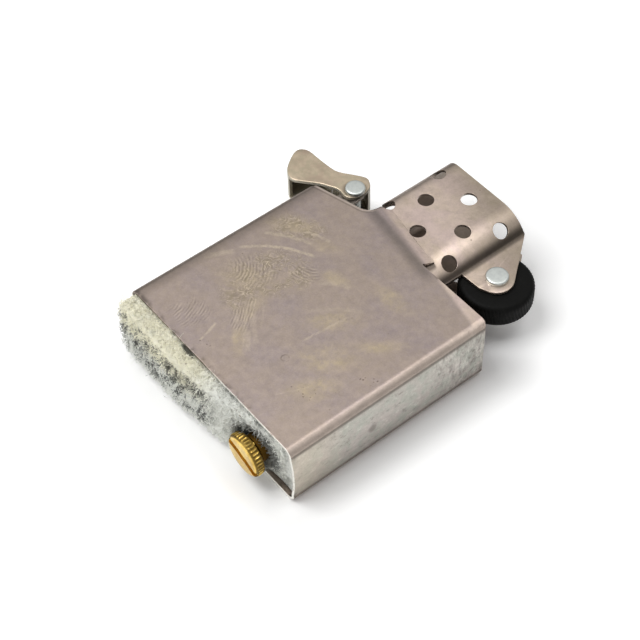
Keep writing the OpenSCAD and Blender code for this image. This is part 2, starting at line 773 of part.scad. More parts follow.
insert_shell();
top_plate();
lid_cam();
cam_rivet();
cam_spring();
flint_wheel();
wheel_rivet();
flint_tube();
flint();
flint_plunger();
flint_spring();
flint_screw();
wick();
cotton_ball(1);  // cotton_ball_1
cotton_ball(2);  // cotton_ball_2
cotton_ball(3);  // cotton_ball_3
cotton_ball(4);  // cotton_ball_4
cotton_ball(5);  // cotton_ball_5
cotton_ball(6);  // cotton_ball_6
felt_pad();
felt_flap();
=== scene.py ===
import math
from math import cos, pi, radians, sin

import bmesh
import bpy
import numpy as np
from mathutils import Matrix, Vector, noise


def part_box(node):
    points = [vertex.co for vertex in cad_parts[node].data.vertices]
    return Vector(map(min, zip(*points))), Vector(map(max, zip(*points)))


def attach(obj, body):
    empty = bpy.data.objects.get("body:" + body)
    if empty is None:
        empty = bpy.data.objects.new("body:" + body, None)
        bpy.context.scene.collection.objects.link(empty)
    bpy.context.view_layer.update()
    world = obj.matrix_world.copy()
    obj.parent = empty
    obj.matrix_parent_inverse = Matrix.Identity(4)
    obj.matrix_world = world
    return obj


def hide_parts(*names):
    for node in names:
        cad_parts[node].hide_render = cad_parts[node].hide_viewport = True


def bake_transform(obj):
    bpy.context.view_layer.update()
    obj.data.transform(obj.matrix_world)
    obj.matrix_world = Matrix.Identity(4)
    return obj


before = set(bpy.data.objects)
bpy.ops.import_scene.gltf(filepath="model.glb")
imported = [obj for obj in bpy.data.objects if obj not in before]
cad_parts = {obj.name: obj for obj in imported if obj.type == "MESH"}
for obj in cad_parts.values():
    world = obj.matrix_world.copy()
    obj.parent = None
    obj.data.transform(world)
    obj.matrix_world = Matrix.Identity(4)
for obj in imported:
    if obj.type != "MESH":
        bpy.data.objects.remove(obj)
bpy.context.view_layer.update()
mm = 0.001
# measures of the insert, in mm as every place below
middlePlane = 5.6          # height of the plane halfway through the tank's thickness
feltEnd = -16.5            # Y of the tank's felt end
feedAxis = (10.8, 5.6)     # X and Z of the axis of tube, flint and screw


# small helpers
def srgb(colour):
    # red, green and blue up to 255, turned into the numbers a shader takes
    values = [c / 255 for c in colour]
    return (*(v / 12.92 if v <= 0.04045 else ((v + 0.055) / 1.055) ** 2.4 for v in values), 1)


def clamp(value):
    return max(0, min(1, value))


def addObject(name, data):
    piece = bpy.data.objects.new(name, data)
    bpy.context.scene.collection.objects.link(piece)
    return piece


def meshFrom(name, points, faces):
    # points in mm
    mesh = bpy.data.meshes.new(name)
    mesh.from_pydata([tuple(p) for p in np.array(points) * mm], [], faces)
    mesh.update()
    return mesh


def meshOf(work, name):
    mesh = bpy.data.meshes.new(name)
    work.to_mesh(mesh)
    work.free()
    return mesh


def faceOutwards(mesh):
    work = bmesh.new()
    work.from_mesh(mesh)
    bmesh.ops.recalc_face_normals(work, faces=work.faces)
    work.to_mesh(mesh)
    work.free()


def gridFaces(rows, columns, loopRows=True, loopColumns=False, flip=False, first=0):
    # four-sided faces over a grid of points, whose rows or columns may close on themselves
    faces = []
    for i in range(rows if loopRows else rows - 1):
        here, there = first + i * columns, first + (i + 1) % rows * columns
        for k in range(columns if loopColumns else columns - 1):
            m = (k + 1) % columns
            quad = (here + k, there + k, there + m, here + m)
            faces.append(quad[:1] + quad[:0:-1] if flip else quad)
    return faces


def shadeByAngle(mesh, degrees):
    mesh.polygons.foreach_set("use_smooth", [True] * len(mesh.polygons))
    mesh.set_sharp_from_angle(angle=radians(degrees))
    mesh.update()


def bakeModifiers(piece):
    graph = bpy.context.evaluated_depsgraph_get()
    mesh = bpy.data.meshes.new_from_object(piece.evaluated_get(graph), depsgraph=graph)
    piece.modifiers.clear()
    piece.data = mesh
    return piece


def paint(piece, material):
    piece.data.materials.clear()
    piece.data.materials.append(material)


def finishPiece(piece, material, slotName, body, *nodes):
    if material:
        paint(piece, material)
    if nodes:
        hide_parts(*nodes)
    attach(piece, body)


# node maths, the same for shaders and geometry
class Link:
    def __init__(self, graph, socket):
        self.graph = graph
        self.socket = socket

    def other(self, output):
        # another output of the same node
        return Link(self.graph, self.socket.node.outputs[output])

    def __abs__(self):
        return self.graph.maths("ABSOLUTE", self)

    def __add__(self, other):
        return self.graph.maths("ADD", self, other)

    __radd__ = __add__

    def __mul__(self, other):
        return self.graph.maths("MULTIPLY", self, other)

    def __sub__(self, other):
        return self.graph.maths("SUBTRACT", self, other)

    def __rsub__(self, other):
        return self.graph.maths("SUBTRACT", other, self)

    def __truediv__(self, other):
        return self.graph.maths("DIVIDE", self, other)


class Graph:
    def __init__(self, tree, palette=None):
        self.tree = tree
        self.tree.nodes.clear()
        self.palette = palette

    def add(self, kind, inputs=None, output=0, **settings):
        node = self.tree.nodes.new(kind)
        for name, value in settings.items():
            setattr(node, name, value)
        for name, value in (inputs or {}).items():
            self.connect(node.inputs[name], value)
        return Link(self, node.outputs[output])

    def connect(self, socket, value):
        # a value is a link, a plain value, a colour up to 255 or a colour's name in the palette
        if isinstance(value, Link):
            self.tree.links.new(value.socket, socket)
        elif value is not None:
            value = self.palette[value] if isinstance(value, str) else value
            socket.default_value = srgb(value) if socket.type == "RGBA" and len(value) == 3 else value

    def maths(self, operation, *values):
        return self.add("ShaderNodeMath", dict(enumerate(values)), operation=operation)

    def joined(self, *areas):
        total = areas[0]
        for area in areas[1:]:
            total = self.maths("MAXIMUM", total, area)
        return total

    def parts(self, vector):
        first = self.add("ShaderNodeSeparateXYZ", {0: vector})
        return [first.other(i) for i in range(3)]

    def seen(self):
        # 1 for what the camera sees, straight or in a mirror or glass
        ray = self.add("ShaderNodeLightPath", output="Is Camera Ray")
        return self.joined(ray, ray.other("Is Glossy Ray"), ray.other("Is Transmission Ray"))

    def show(self, shader, kind="Material"):
        out = self.tree.nodes.new("ShaderNodeOutput" + kind)
        self.connect(out.inputs["Surface"], shader)


class Recipe(Graph):
    def __init__(self, name, palette=None):
        self.material = bpy.data.materials.new(name)
        self.material.use_nodes = True
        super().__init__(self.material.node_tree, palette)
        # object coordinates in mm, and their three parts
        self.place = self.vector("MULTIPLY", self.add("ShaderNodeTexCoord", output="Object"), (1000,) * 3)
        self.x, self.y, self.z = self.parts(self.place)

    def vector(self, operation, *values):
        output = "Value" if operation in ("LENGTH", "DISTANCE") else 0
        return self.add("ShaderNodeVectorMath", dict(enumerate(values)), output, operation=operation)

    def noise(self, size, seed, detail=4, rough=0.6, twist=0, vector=None):
        return self.add("ShaderNodeTexNoise",
                        {"Vector": vector or self.place, "W": seed, "Scale": 1 / size, "Detail": detail,
                         "Roughness": rough, "Distortion": twist}, noise_dimensions="4D")

    def cells(self, size, vector=None):
        return self.add("ShaderNodeTexVoronoi",
                        {"Vector": vector or self.place, "Scale": 1 / size}, "Distance")

    def warp(self, size, amount, seed):
        # the place, pushed about by noise of that size
        centred = self.vector("SUBTRACT", self.noise(size, seed, 2, 0.5).other("Color"), (0.5,) * 3)
        return self.vector("MULTIPLY_ADD", centred, (amount,) * 3, self.place)

    def mapped(self, scale, turn=0, centre=(0, 0), vector=None):
        # the place seen from centre, turned and squeezed, so that a pattern comes out drawn long
        return self.add("ShaderNodeMapping",
                        {"Vector": vector or self.place, "Location": (*centre, 0),
                         "Rotation": (0, 0, radians(turn)), "Scale": scale}, vector_type="TEXTURE")

    def step(self, value, low, high):
        # 0 up to low and 1 from high, or the other way round when low is the greater
        return self.add("ShaderNodeMapRange", {"Value": value, "From Min": low, "From Max": high},
                        interpolation_type="SMOOTHSTEP")

    def zone(self, *steps):
        total = self.step(*steps[0])
        for limits in steps[1:]:
            total = total * self.step(*limits)
        return total

    def blots(self, size, seed, low, high, *kind, **more):
        return self.step(self.noise(size, seed, *kind, **more), low, high)

    def mix(self, factor, first, second):
        return self.add("ShaderNodeMix", {0: factor, 6: first, 7: second}, 2, data_type="RGBA")

    def layers(self, colour, *coats):
        # coats are masks and colours, laid one over the other
        for mask, coat in coats:
            colour = self.mix(mask, colour, coat)
        return colour

    def oval(self, x, y, halfX, halfY, turn, soft, vector):
        # 1 inside an oval drawn on X and Y, falling to 0 at its rim
        local = self.mapped((halfX, halfY, 1), turn, (x, y), vector)
        return self.step(self.vector("LENGTH", self.vector("MULTIPLY", local, (1, 1, 0))), 1, 1 - soft)

    def ovals(self, areas, soft, vector):
        return self.joined(*(self.oval(*area, soft, vector) for area in areas))

    def stroke(self, startX, startY, endX, endY, width, bow, vector):
        # 1 along a fine line from start to end, with an even bow in its middle
        turn = math.degrees(math.atan2(endY - startY, endX - startX))
        half = math.dist((startX, startY), (endX, endY)) / 2
        middle = ((startX + endX) / 2, (startY + endY) / 2)
        along, across, _ = self.parts(self.mapped((half, 1, 1), turn, middle, vector))
        off = abs(across + along * along * bow - bow * 0.5)
        return self.step(off, width / 2, width / 6) * self.step(abs(along), 1, 0.8)

    def bump(self, height, distance, strength, normal=None):
        return self.add("ShaderNodeBump", {"Height": height, "Distance": distance * mm,
                                                 "Strength": strength, "Normal": normal})

    def finish(self, colour, rough, normal=None, metal=None, shine=None):
        self.show(self.add("ShaderNodeBsdfPrincipled",
                           {"Base Color": colour, "Roughness": rough, "Normal": normal,
                            "Metallic": metal, "Specular IOR Level": shine}))
        return self.material


# camera, light and floor
view = {"azimuth": 52.97, "elevation": 50.82, "roll": -2.05, "distance": 210.64,
        "aim": (0, 3.5, 5), "side": -1.18, "rise": 0.16, "lens": 86.03}
lamps = {  # a wide soft box overhead, one that lights the long bends, and a low one in front of the felt
    "keyLamp": {"from": (-90, -120, 330), "aim": (0, 5, 5), "size": (200, 220), "power": 0.88},
    "topLamp": {"from": (60, 120, 320), "aim": (0, 5, 5), "size": (120, 160), "power": 0.17},
    "lowLamp": {"from": (-40, -330, 110), "aim": (0, -15, 5), "size": (260, 120), "power": 0.3}}
around = {"strength": 0.25, "colour": (1, 0.995, 0.98, 1)}
paper = {"half": 1500, "drop": 0.03, "grey": 0.95, "clear": (1.5, 9), "glow": 0.22, "least": 0.04}
# dark boards that only the bends mirror: first and last angle, greys at the foot and the top
boards = {"boardWheelSide": (-12, 88, 0.05, 0.5), "boardCamSide": (104, 215, 0.16, 0.4)}
boardSize = {"far": 360, "low": 4, "high": 190, "columns": 13}


def placeCamera():
    az, el, roll = (radians(view[k]) for k in ("azimuth", "elevation", "roll"))
    back = Vector((sin(az) * cos(el), -cos(az) * cos(el), sin(el)))
    right = Vector((0, 0, 1)).cross(back).normalized()
    up = back.cross(right)
    across = right * cos(roll) + up * sin(roll)
    upward = up * cos(roll) - right * sin(roll)
    place = Vector(view["aim"]) + across * view["side"] + upward * view["rise"] + back * view["distance"]
    data = bpy.data.cameras.new("camera")
    data.lens, data.sensor_width, data.clip_start = view["lens"], 36, 0.01
    camera = addObject("camera", data)
    turn = Matrix((across, upward, back)).transposed().to_4x4()
    camera.matrix_world = Matrix.Translation(place * mm) @ turn
    bpy.context.scene.camera = camera


def lightStudio():
    for name, lamp in lamps.items():
        data = bpy.data.lights.new(name, "AREA")
        data.shape = "RECTANGLE"
        data.size, data.size_y = lamp["size"][0] * mm, lamp["size"][1] * mm
        data.energy = lamp["power"]
        piece = addObject(name, data)
        piece.location = Vector(lamp["from"]) * mm
        towards = Vector(lamp["from"]) - Vector(lamp["aim"])
        piece.rotation_euler = towards.to_track_quat("Z", "Y").to_euler()
    world = bpy.data.worlds.new("studio")
    world.use_nodes = True
    sky = Graph(world.node_tree)
    soft = sky.add("ShaderNodeBackground", {"Color": around["colour"], "Strength": around["strength"]})
    white = sky.add("ShaderNodeBackground", {"Strength": 1})
    sky.show(sky.add("ShaderNodeMixShader", {0: sky.seen(), 1: soft, 2: white}), "World")
    bpy.context.scene.world = world
    bpy.context.scene.view_settings.view_transform = "Standard"


def makeFloor():
    size, low = paper["half"], -paper["drop"]
    corners = [(-size, -size, low), (size, -size, low), (size, size, low), (-size, size, low)]
    floor = addObject("floor", meshFrom("floor", corners, [(0, 1, 2, 3)]))
    r = Recipe("whitePaper")
    sheet = r.add("ShaderNodeBsdfDiffuse", {"Color": (*(paper["grey"],) * 3, 1)})
    # pure white away from the object; near it only the light and the shadow tell
    beyond = r.vector("ABSOLUTE", r.vector("SUBTRACT", r.place, (2, 0.5, 0)))
    beyond = r.vector("MAXIMUM", r.vector("SUBTRACT", beyond, (16, 18.5, 0)), (0, 0, 0))
    extra = r.step(r.vector("LENGTH", beyond), *paper["clear"]) * paper["glow"] + paper["least"]
    glow = r.add("ShaderNodeEmission", {"Color": (1, 1, 1, 1), "Strength": extra})
    nothing = r.add("ShaderNodeEmission", {"Strength": 0})
    extra = r.add("ShaderNodeMixShader", {0: r.seen(), 1: nothing, 2: glow})
    r.show(r.add("ShaderNodeAddShader", {0: sheet, 1: extra}))
    paint(floor, r.material)


def makeBoard(name, first, last, foot, top):
    # a curved board round part of the scene, paler towards its top
    far, low, high, columns = (boardSize[k] for k in ("far", "low", "high", "columns"))
    angles = np.radians(np.linspace(first, last, columns))
    points = [(far * cos(a), far * sin(a), z) for z in (low, high) for a in angles]
    board = addObject(name, meshFrom(name, points, gridFaces(2, columns, False, flip=True)))
    r = Recipe(name)
    grey = r.mix(r.step(r.z, low, high), (foot, foot, foot, 1), (top, top, top, 1))
    r.show(r.add("ShaderNodeEmission", {"Color": grey}))
    paint(board, r.material)
    board.visible_camera = board.visible_diffuse = board.visible_shadow = False


placeCamera()
lightStudio()
makeFloor()
for boardName, boardValues in boards.items():
    makeBoard(boardName, *boardValues)
print("camera, light and floor placed")


# pieces taken from the frame
weldGap = 0.012     # points nearer than this are one


def softened(node, name, width, angle=40, segments=2, smooth=35, pick=None, settle=None):
    # a merged copy of a CAD node, with its sharp edges rounded
    work = bmesh.new()
    work.from_mesh(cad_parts[node].data)
    for vertex in work.verts if settle else ():
        settle(vertex)
    bmesh.ops.remove_doubles(work, verts=work.verts, dist=weldGap * mm)
    bmesh.ops.dissolve_degenerate(work, dist=1e-6, edges=work.edges)
    bmesh.ops.dissolve_limit(work, angle_limit=radians(1.5), verts=work.verts, edges=work.edges)
    edges = [e for e in work.edges if e.is_manifold and e.calc_face_angle(0) > radians(angle)
             and (pick is None or pick(e))]
    bmesh.ops.bevel(work, geom=edges, offset=width * mm, offset_type="OFFSET", segments=segments,
                    profile=0.5, affect="EDGES", clamp_overlap=False, loop_slide=True)
    # many-sided faces are cut into triangles here, in mm, as that comes out cleaner than in metres
    bmesh.ops.scale(work, vec=(1 / mm,) * 3, verts=work.verts)
    bmesh.ops.triangulate(work, faces=[f for f in work.faces if len(f.verts) > 4])
    bmesh.ops.scale(work, vec=(mm,) * 3, verts=work.verts)
    result = meshOf(work, name)
    shadeByAngle(result, smooth)
    piece = addObject(name, result)
    piece.modifiers.new("even", "WEIGHTED_NORMAL").keep_sharp = True
    return bakeModifiers(piece)


# the formed steel shell
# the bead colour is a painted highlight; the dirt colour is real dirt and also painted shade in the step's
# slit and foot
steel = {"plain": (168, 153, 144), "tan": (186, 170, 145), "lilac": (160, 147, 147), "pale": (206, 191, 169),
         "olive": (136, 126, 108), "chimney": (214, 196, 181), "wall": (188, 180, 174),
         "wallCool": (180, 180, 171), "bead": (190, 176, 165), "crease": (98, 90, 82), "dirtAndShade": (58, 52, 46),
         "bare": (222, 214, 206), "cut": (240, 238, 230), "blush": (204, 184, 179), "shade": (108, 101, 96),
         "soot": (58, 48, 38), "gloss": 0.36}
lip = {"x": -18, "y": 14.4, "tilt": 15, "sweep": (-9.914, 19.05), "radius": 2.4, "turn": -9.3}
stepLine = {"y": 18.4, "tilt": 10.8}

# stains on the broad face: middle, half sizes and turn, in mm and degrees
tanStains = [(-12.6, 7.5, 5, 2.2, 40), (-6.5, 8.5, 3, 1.6, 30), (-9, -3.4, 5.2, 2.6, 45),
             (-4.5, -5.5, 1.2, 5, 20), (-1.2, -10.5, 4.5, 1.6, -50), (-1, 6, 3.4, 1.4, 20),
             (4.5, 1, 2.6, 5, -30), (9, -3.5, 3.2, 5.5, -40), (7, 9.5, 4.5, 2, 10),
             (11.5, -8, 2.4, 5.5, -30), (12, 3, 1.6, 4.5, -38)]
lilacStains = [(-2, -2.5, 3.4, 4, 0), (3, -9.5, 3, 4.6, -30), (9.5, 4.5, 2.4, 4.5, -35),
               (-13, -9, 3.4, 3, 0), (14.5, 8, 2.5, 4, -20), (0.5, 11, 4.5, 2, 0)]
# old grime with pale crackle in it
grimePatches = [(-7.6, -0.2, 7.8, 5.4, 46), (-11.8, 7.4, 5.6, 3.4, 36), (-7, -5.8, 4.2, 3.6, 0)]
# prints left by fingertips: middle, half sizes, turn, middle of the rings and their spacing
fingerPrints = [(-9.3, -13, 4.2, 3.6, 35, -14.8, -15.2, 0.44), (-9.6, -2, 5, 3.8, 30, -13.5, -5.5, 0.5),
                (-4.6, 3, 3.6, 2.6, 20, -5.8, 6.2, 0.5), (-4, -7.6, 3, 5, 37, -30, -28, 0.42)]
# pale wipes: start, end, width, bow and strength; the last five are a loose bundle down from the grime
wipes = [(-14.7, -0.8, -6, 6.7, 0.7, 1.1, 0.75), (-14.6, 3.4, -7.8, 7.6, 0.8, 0.4, 0.5),
         (-16, -5.8, -14, -1.6, 1.3, 0, 0.4), (-5.4, -11.2, -4.2, -14.7, 0.5, 0.1, 0.5),
         (4.4, -4.4, 5.2, 3.3, 0.5, 0, 0.4), (-10.8, 8, -6.6, 9.6, 0.7, 0.2, 0.45),
         (9, -12.5, 11, -8, 0.3, 0, 0.25), (-2.4, 3.6, 1.4, 6.6, 1.4, 0.3, 0.3),
         (0.5, -1, 6, 5.5, 0.9, 0.5, 0.2), (-6.9, -6.9, -1.6, -10.9, 0.9, 0.3, 0.24),
         (-6, -5.6, 0.6, -11.2, 0.6, 0.1, 0.3), (-5.4, -5, 1.2, -9.6, 1.1, -0.2, 0.26),
         (-4.6, -4, -0.6, -7.2, 0.5, 0.2, 0.2), (-1.6, -8.6, 1.4, -11, 1, 0, 0.3)]


def wornSteel():
    r = Recipe("wornSteel", steel)
    x, y, z = r.x, r.y, r.z
    drift, ripple = r.warp(4.5, 2.6, 3), r.warp(0.9, 0.5, 6)
    side, high = abs(x), abs(z - middlePlane)
    onFace = r.zone((z, 10.75, 11.1), (x, 17.3, 16.7))
    onTank = r.step(y, 17.4, 16.2)
    onChimney = r.step(y - x * -0.19, 17.4, 18.2)
    onWall = r.step(side, 17.3, 17.7)
    face = onFace * onTank
    # broad face: stains that run into each other, and old grime with pale crackle in it
    stains = r.blots(2.6, 4, 0.36, 0.66, 5, 0.62)
    fleck = r.blots(0.8, 8, 0.34, 0.66, 5, 0.7)
    tan = r.ovals(tanStains, 0.8, drift)
    lilac = r.ovals(lilacStains, 0.8, drift)
    patch = r.ovals(grimePatches, 0.6, drift) * r.blots(1.7, 24, 0.36, 0.62, 5, 0.75)
    curl = r.noise(2, 27, 1.5, 0.5, 0.5, r.warp(0.9, 1, 26))
    curl = abs(r.maths("SINE", curl * 40))
    crackle = r.step(curl, 0.42, 0.1) * patch * r.blots(0.7, 26, 0.42, 0.56, 3, 0.7)
    # fingerprints: rings broken up by noise
    crumble = r.noise(0.9, 9, 3)
    prints = []
    for *area, ringX, ringY, spacing in fingerPrints:
        local = r.vector("SUBTRACT", r.warp(2.4, 0.9, ringX), (ringX, ringY, 0))
        length = r.vector("LENGTH", r.vector("MULTIPLY", local, (1, 1, 0)))
        wave = r.maths("SINE", length * (2 * pi / spacing))
        prints.append(wave * (r.oval(*area, 0.7, drift) * r.step(crumble, 0.3, 0.62)))
    ridges = sum(prints[1:], prints[0]) * face
    # pale wipes and scratches, and one small ring
    lines = r.joined(*(r.stroke(*line, ripple) * strength for *line, strength in wipes))
    lines = lines * face * r.blots(0.6, 5, 0.28, 0.62, 4, 0.7)
    ring = abs(r.vector("DISTANCE", r.place, (5.2, -7.8, 11.2)) - 0.52)
    ring = r.step(ring, 0.16, 0.03) * r.step(crumble, 0.3, 0.5)
    # dark pits, a few everywhere and a cluster near the wheel-side edge
    pits = r.step(r.cells(1.6), 0.11, 0.04) * r.blots(3, 12, 0.52, 0.6, 2, 0.55) * 0.6
    few = r.cells(0.55, ripple)
    cluster = r.joined(r.step(few, 0.36, 0.12) * r.oval(15.1, -1.4, 1.2, 2.4, -40, 0.5, drift),
                       r.step(few, 0.3, 0.1) * r.oval(11.4, -9.6, 1.4, 2.6, -40, 0.6, drift),
                       r.step(few, 0.3, 0.1) * r.oval(-4, -14.6, 2.4, 0.9, 10, 0.6, drift))
    pits = r.joined(pits, cluster * 0.8 * onFace)
    # the chimney is cleaner and paler, with long drawing marks round its bends
    drawn = r.noise(1.4, 6, vector=r.mapped((4, 0.7, 4), 30))
    chimney = r.layers(
        "chimney",
        (r.step(drawn, 0.2, 0.8) * 0.35, "plain"),
        (r.blots(3.2, 15, 0.46, 0.7) * 0.4, "tan"),
        (r.blots(3.4, 18, 0.4, 0.62) * 0.6, "blush"),
        (r.blots(1.3, 16, 0.5, 0.72, 5, 0.7) * 0.3, "olive"),
        (r.step(y + x * 0.35, 24, 34) * 0.65, "olive"),
        (r.step(x, -5.6, -8.6) * 0.6, "shade"))
    # the step: painted shade below, pale above, and painted shade in its slit and in the concave foot of the
    # bend
    climb = y + x * math.tan(radians(stepLine["tilt"])) - stepLine["y"]
    below = climb - x * 0.05 + 0.2
    under = r.zone((below, -3.4, -1.5), (below, -0.5, -1.4), (x, -8.2, -7.2), (x, 8.5, 5))
    slit = r.zone((abs(x - 4.7), 0.9, 0.3), (abs(climb), 1.2, 0.8))
    foot = r.zone((x, 5.9, 6.9), (x, 8, 7.45), (z, 8, 8.1)) * onChimney
    # the sheet's thickness shows pale inside the wind holes
    thick = r.zone((high, 4.66, 4.72), (z, 10.64, 10.58)) * onChimney
    # narrow walls: greyer, mottled and scuffed, with painted highlights and painted shade on the wrinkles at
    # the far corner
    scuff = r.noise(0.9, 23, 5, 0.75, vector=r.mapped((1, 1.5, 0.9)))
    crumple = r.noise(1.1, 25, 3, twist=1.2, vector=r.mapped((1, 0.7, 1.6)))
    crumpled = r.step(y + z * 0.3, 7, 12.5)
    smudge = r.vector("DISTANCE", r.warp(0.8, 0.6, 2), (18, -3.6, 5.6))
    wall = r.layers(
        "wall",
        (r.blots(1.8, 21, 0.4, 0.62, 5, 0.7), "wallCool"),
        (r.step(z, 5.6, 9) * 0.4, "wallCool"),
        (r.step(scuff, 0.52, 0.72) * 0.4, "cut"),
        (r.step(scuff, 0.48, 0.34) * 0.45, "shade"),
        (r.step(y, -6, -15.5) * 0.4, "pale"),
        # painted highlight and painted shade on the wrinkled far corner
        (r.step(crumple, 0.52, 0.62) * crumpled * 0.25, "cut"),
        (r.step(crumple, 0.5, 0.36) * crumpled * 0.42, "shade"),
        (r.step(smudge, 1, 0.3) * 0.5, "crease"))
    # the rounded long edges get a painted highlight, with painted shade in the crease under them and along
    # the cam-side round
    onBead = r.zone((side, 16.5, 17), (high, 4.5, 4.6), (y, 17, 16))
    crease = r.zone((side, 17.3, 17.5), (high, 3.9, 4.4), (high, 4.8, 4.55))
    camSideShade = r.zone((x, -14.2, -17), (z, 5, 9)) * onTank
    # the cam-side top edge is turned over a little: a painted highlight along it with a painted shade line
    # beside it
    slope = radians(lip["tilt"])
    onLine = (x - lip["x"]) * sin(slope) - (y - lip["y"]) * cos(slope)
    sweep = r.vector("DISTANCE", r.vector("MULTIPLY", r.place, (1, 1, 0)), (*lip["sweep"], 0))
    past = r.step(x, lip["turn"] - 0.05, lip["turn"] + 0.05)
    inset = onLine * (1 - past) + (sweep - lip["radius"]) * past
    nearLip = r.zone((x, -7.2, -7.8), (y, 12, 13.6)) * r.joined(onFace, r.step(z, 10.4, 10.7))
    colour = r.layers(
        "plain",
        (r.blots(7, 1, 0.36, 0.64) * 0.6, "lilac"),
        (lilac * 0.6 * onTank, "lilac"),
        ((tan * (stains * 0.5 + 0.35) * (fleck * 0.4 + 0.6) + fleck * 0.2) * onTank, "tan"),
        (patch * (fleck * 0.45 + 0.2) * onTank, "tan"),
        (patch * r.step(curl, 0.45, 1) * 0.6 * onTank, "olive"),
        (crackle * 0.85 * onTank, "pale"),
        (r.step(ridges, 0.1, 0.9) * 0.3, "pale"),
        (r.step(ridges, -0.1, -0.9) * 0.3, "crease"),
        (lines, "pale"),
        (ring * 0.45, "crease"),
        (onChimney, chimney),
        # painted shade under the step, in its slit and at the bend's foot
        (under * r.step(z, 9.4, 9.9) * 0.62, "shade"),
        (slit * r.step(z, 10.68, 10.55) * 0.8, "dirtAndShade"),
        (foot * 0.85, "dirtAndShade"),
        (thick * r.step(x, 3.2, 2.6) * r.step(x, -7.4, -6.8) * 0.5, "bare"),
        (onWall, wall),
        # painted highlight on the rounded long edges, painted shade in the crease under them and along the
        # cam-side round
        (onBead * (0.55 + crumble * 0.5), "bead"),
        (crease * 0.7, "crease"),
        (camSideShade * 0.6, "crease"),
        # painted shade line and painted highlight along the cam-side top edge
        (r.step(inset, 0.75, 0.5) * nearLip * 0.4, "crease"),
        (r.step(inset, 0.4, 0.3) * nearLip * 0.8, "bead"),
        (pits * 0.7, "dirtAndShade"))
    # grain and small blotches all over
    grain = r.blots(0.22, 33, 0.3, 0.7, 3, 0.7) * 0.1
    shade = r.blots(1.1, 35, 0.3, 0.7, 5, 0.7) * 0.14 + (grain + 0.87)
    colour = r.add("ShaderNodeVectorMath", {0: colour, "Scale": shade}, operation="SCALE")
    # grime along the felt, bright bare metal on the cut edges, soot inside the chimney and tank
    grime = r.step(y, feltEnd + 0.9, feltEnd + 0.1) * r.blots(1.4, 31, 0.45, 0.65)
    cutEdge = r.zone((y, feltEnd + 0.04, feltEnd + 0.01), (x, -2, 4), (crumble, 0.26, 0.44))
    away = r.vector("DISTANCE", r.vector("MULTIPLY", r.place, (1, 0, 1)), (2.55, 0, 5.3))
    inside = r.step(high, 4.75, 4.6) * onChimney * r.step(x, 7, 6.4) * r.step(x, -8, -7.2)
    inside = inside * r.joined(r.step(x, 2.7, 2.5), r.step(away, 5.2, 5.05))
    colour = r.layers(colour, (grime * 0.6, "dirtAndShade"), (cutEdge, "cut"), (inside * 0.85, "soot"))
    rough = r.noise(0.6, 7) * 0.16 + (steel["gloss"] - 0.06)
    rough = rough + ridges * 0.05 + pits * 0.3 + onBead * 0.16 + onChimney * 0.03 + onWall * 0.06
    # brushed along the sheet, wavy over a few millimetres, wrinkled at the far corner of the wall
    normal = r.bump(r.noise(0.25, 2, 3, vector=r.mapped((1, 9, 1))), 0.004, 0.6)
    normal = r.bump(r.noise(3.5, 17, 2, 0.5), 0.12, 0.5, normal)
    wrinkled = r.zone((y, 8, 15), (x, 16.6, 17.4))
    wrinkle = r.noise(0.9, 19, 4, 0.65, 1.2)
    normal = r.bump(wrinkle * (wrinkled * 0.9 + onWall * 0.2), 0.35, 0.7, normal)
    normal = r.bump(ridges * 0.3 - lines * 0.5 - pits * 1.5 - ring * 0.5 + crackle * 0.4, 0.008, 0.7, normal)
    return r.finish(colour, rough, normal, 1 - cutEdge * 0.8)


# the chimney's flat faces and the bends beside them, in mm from the middle plane: the bends' axes, radii
# and whether they bow outwards
chimneyFlat = 5.1
bends = [((2.55, -0.3), 5.4, True), ((7.513, 3.07), 0.6, False), ((-7, 3.1), 2, True)]
# both ends of the step's slope: the height they belong at, and how far past the step they are looked for
stepEnds = [(chimneyFlat, 0.6, 1.2), (middlePlane, -1.3, -0.75)]
slopeEnd, slopeStart = 0.9, -1.01


def pastStep(place):
    return place.y + place.x * math.tan(radians(stepLine["tilt"])) - stepLine["y"]


def settleNormals(mesh):
    # the CAD's long thin faces shade unevenly, so the bends take the normals of their own curves
    normals = [Vector(n.vector) for n in mesh.corner_normals]
    highs = [abs(v.co.z / mm - middlePlane) for v in mesh.vertices]
    level = set()
    for face in mesh.polygons:
        middle = face.center / mm
        if all(abs(highs[v] - chimneyFlat) < 0.03 for v in face.vertices) and -7 < middle.x < 4.9 \
                and middle.y > 17:
            level.update(face.loop_indices)
    for loop in mesh.loops:
        place = mesh.vertices[loop.vertex_index].co / mm
        off = place.z - middlePlane
        high, past, outer = abs(off), pastStep(place), Vector((0, 0, 1 if off > 0 else -1))
        normal, wanted = normals[loop.index], None
        if past > slopeEnd:
            if abs(high - chimneyFlat) < 0.02 and -7 < place.x < 2.55:
                wanted = outer
            for (x, z), radius, outward in bends:
                away = Vector((place.x - x, 0, high - z))
                if abs(away.length - radius) < 0.02 and (place.x > x) == (x > -5 and outward):
                    away.normalize()
                    wanted = Vector((away.x, 0, away.z * outer.z)) * (1 if outward else -1)
        elif past > -1.6 and high > 4.9 and -7.5 < place.x < 7 and abs(normal.z) > 0.7:
            wanted = (normal + outer * 1.6).normalized()
        if loop.index in level:
            normals[loop.index] = outer
        elif wanted is not None and wanted.dot(normal) > 0.85:
            normals[loop.index] = wanted
    mesh.normals_split_custom_set(normals)


def levelStep(vertex):
    # both ends of the step's slope are made flush with the faces they run into
    place = vertex.co / mm
    off, past = place.z - middlePlane, pastStep(place)
    for height, first, last in stepEnds:
        if abs(abs(off) - height) < 0.03 and first < past < last and -8 < place.x < 5:
            vertex.co.z = (middlePlane + math.copysign(height, off)) * mm


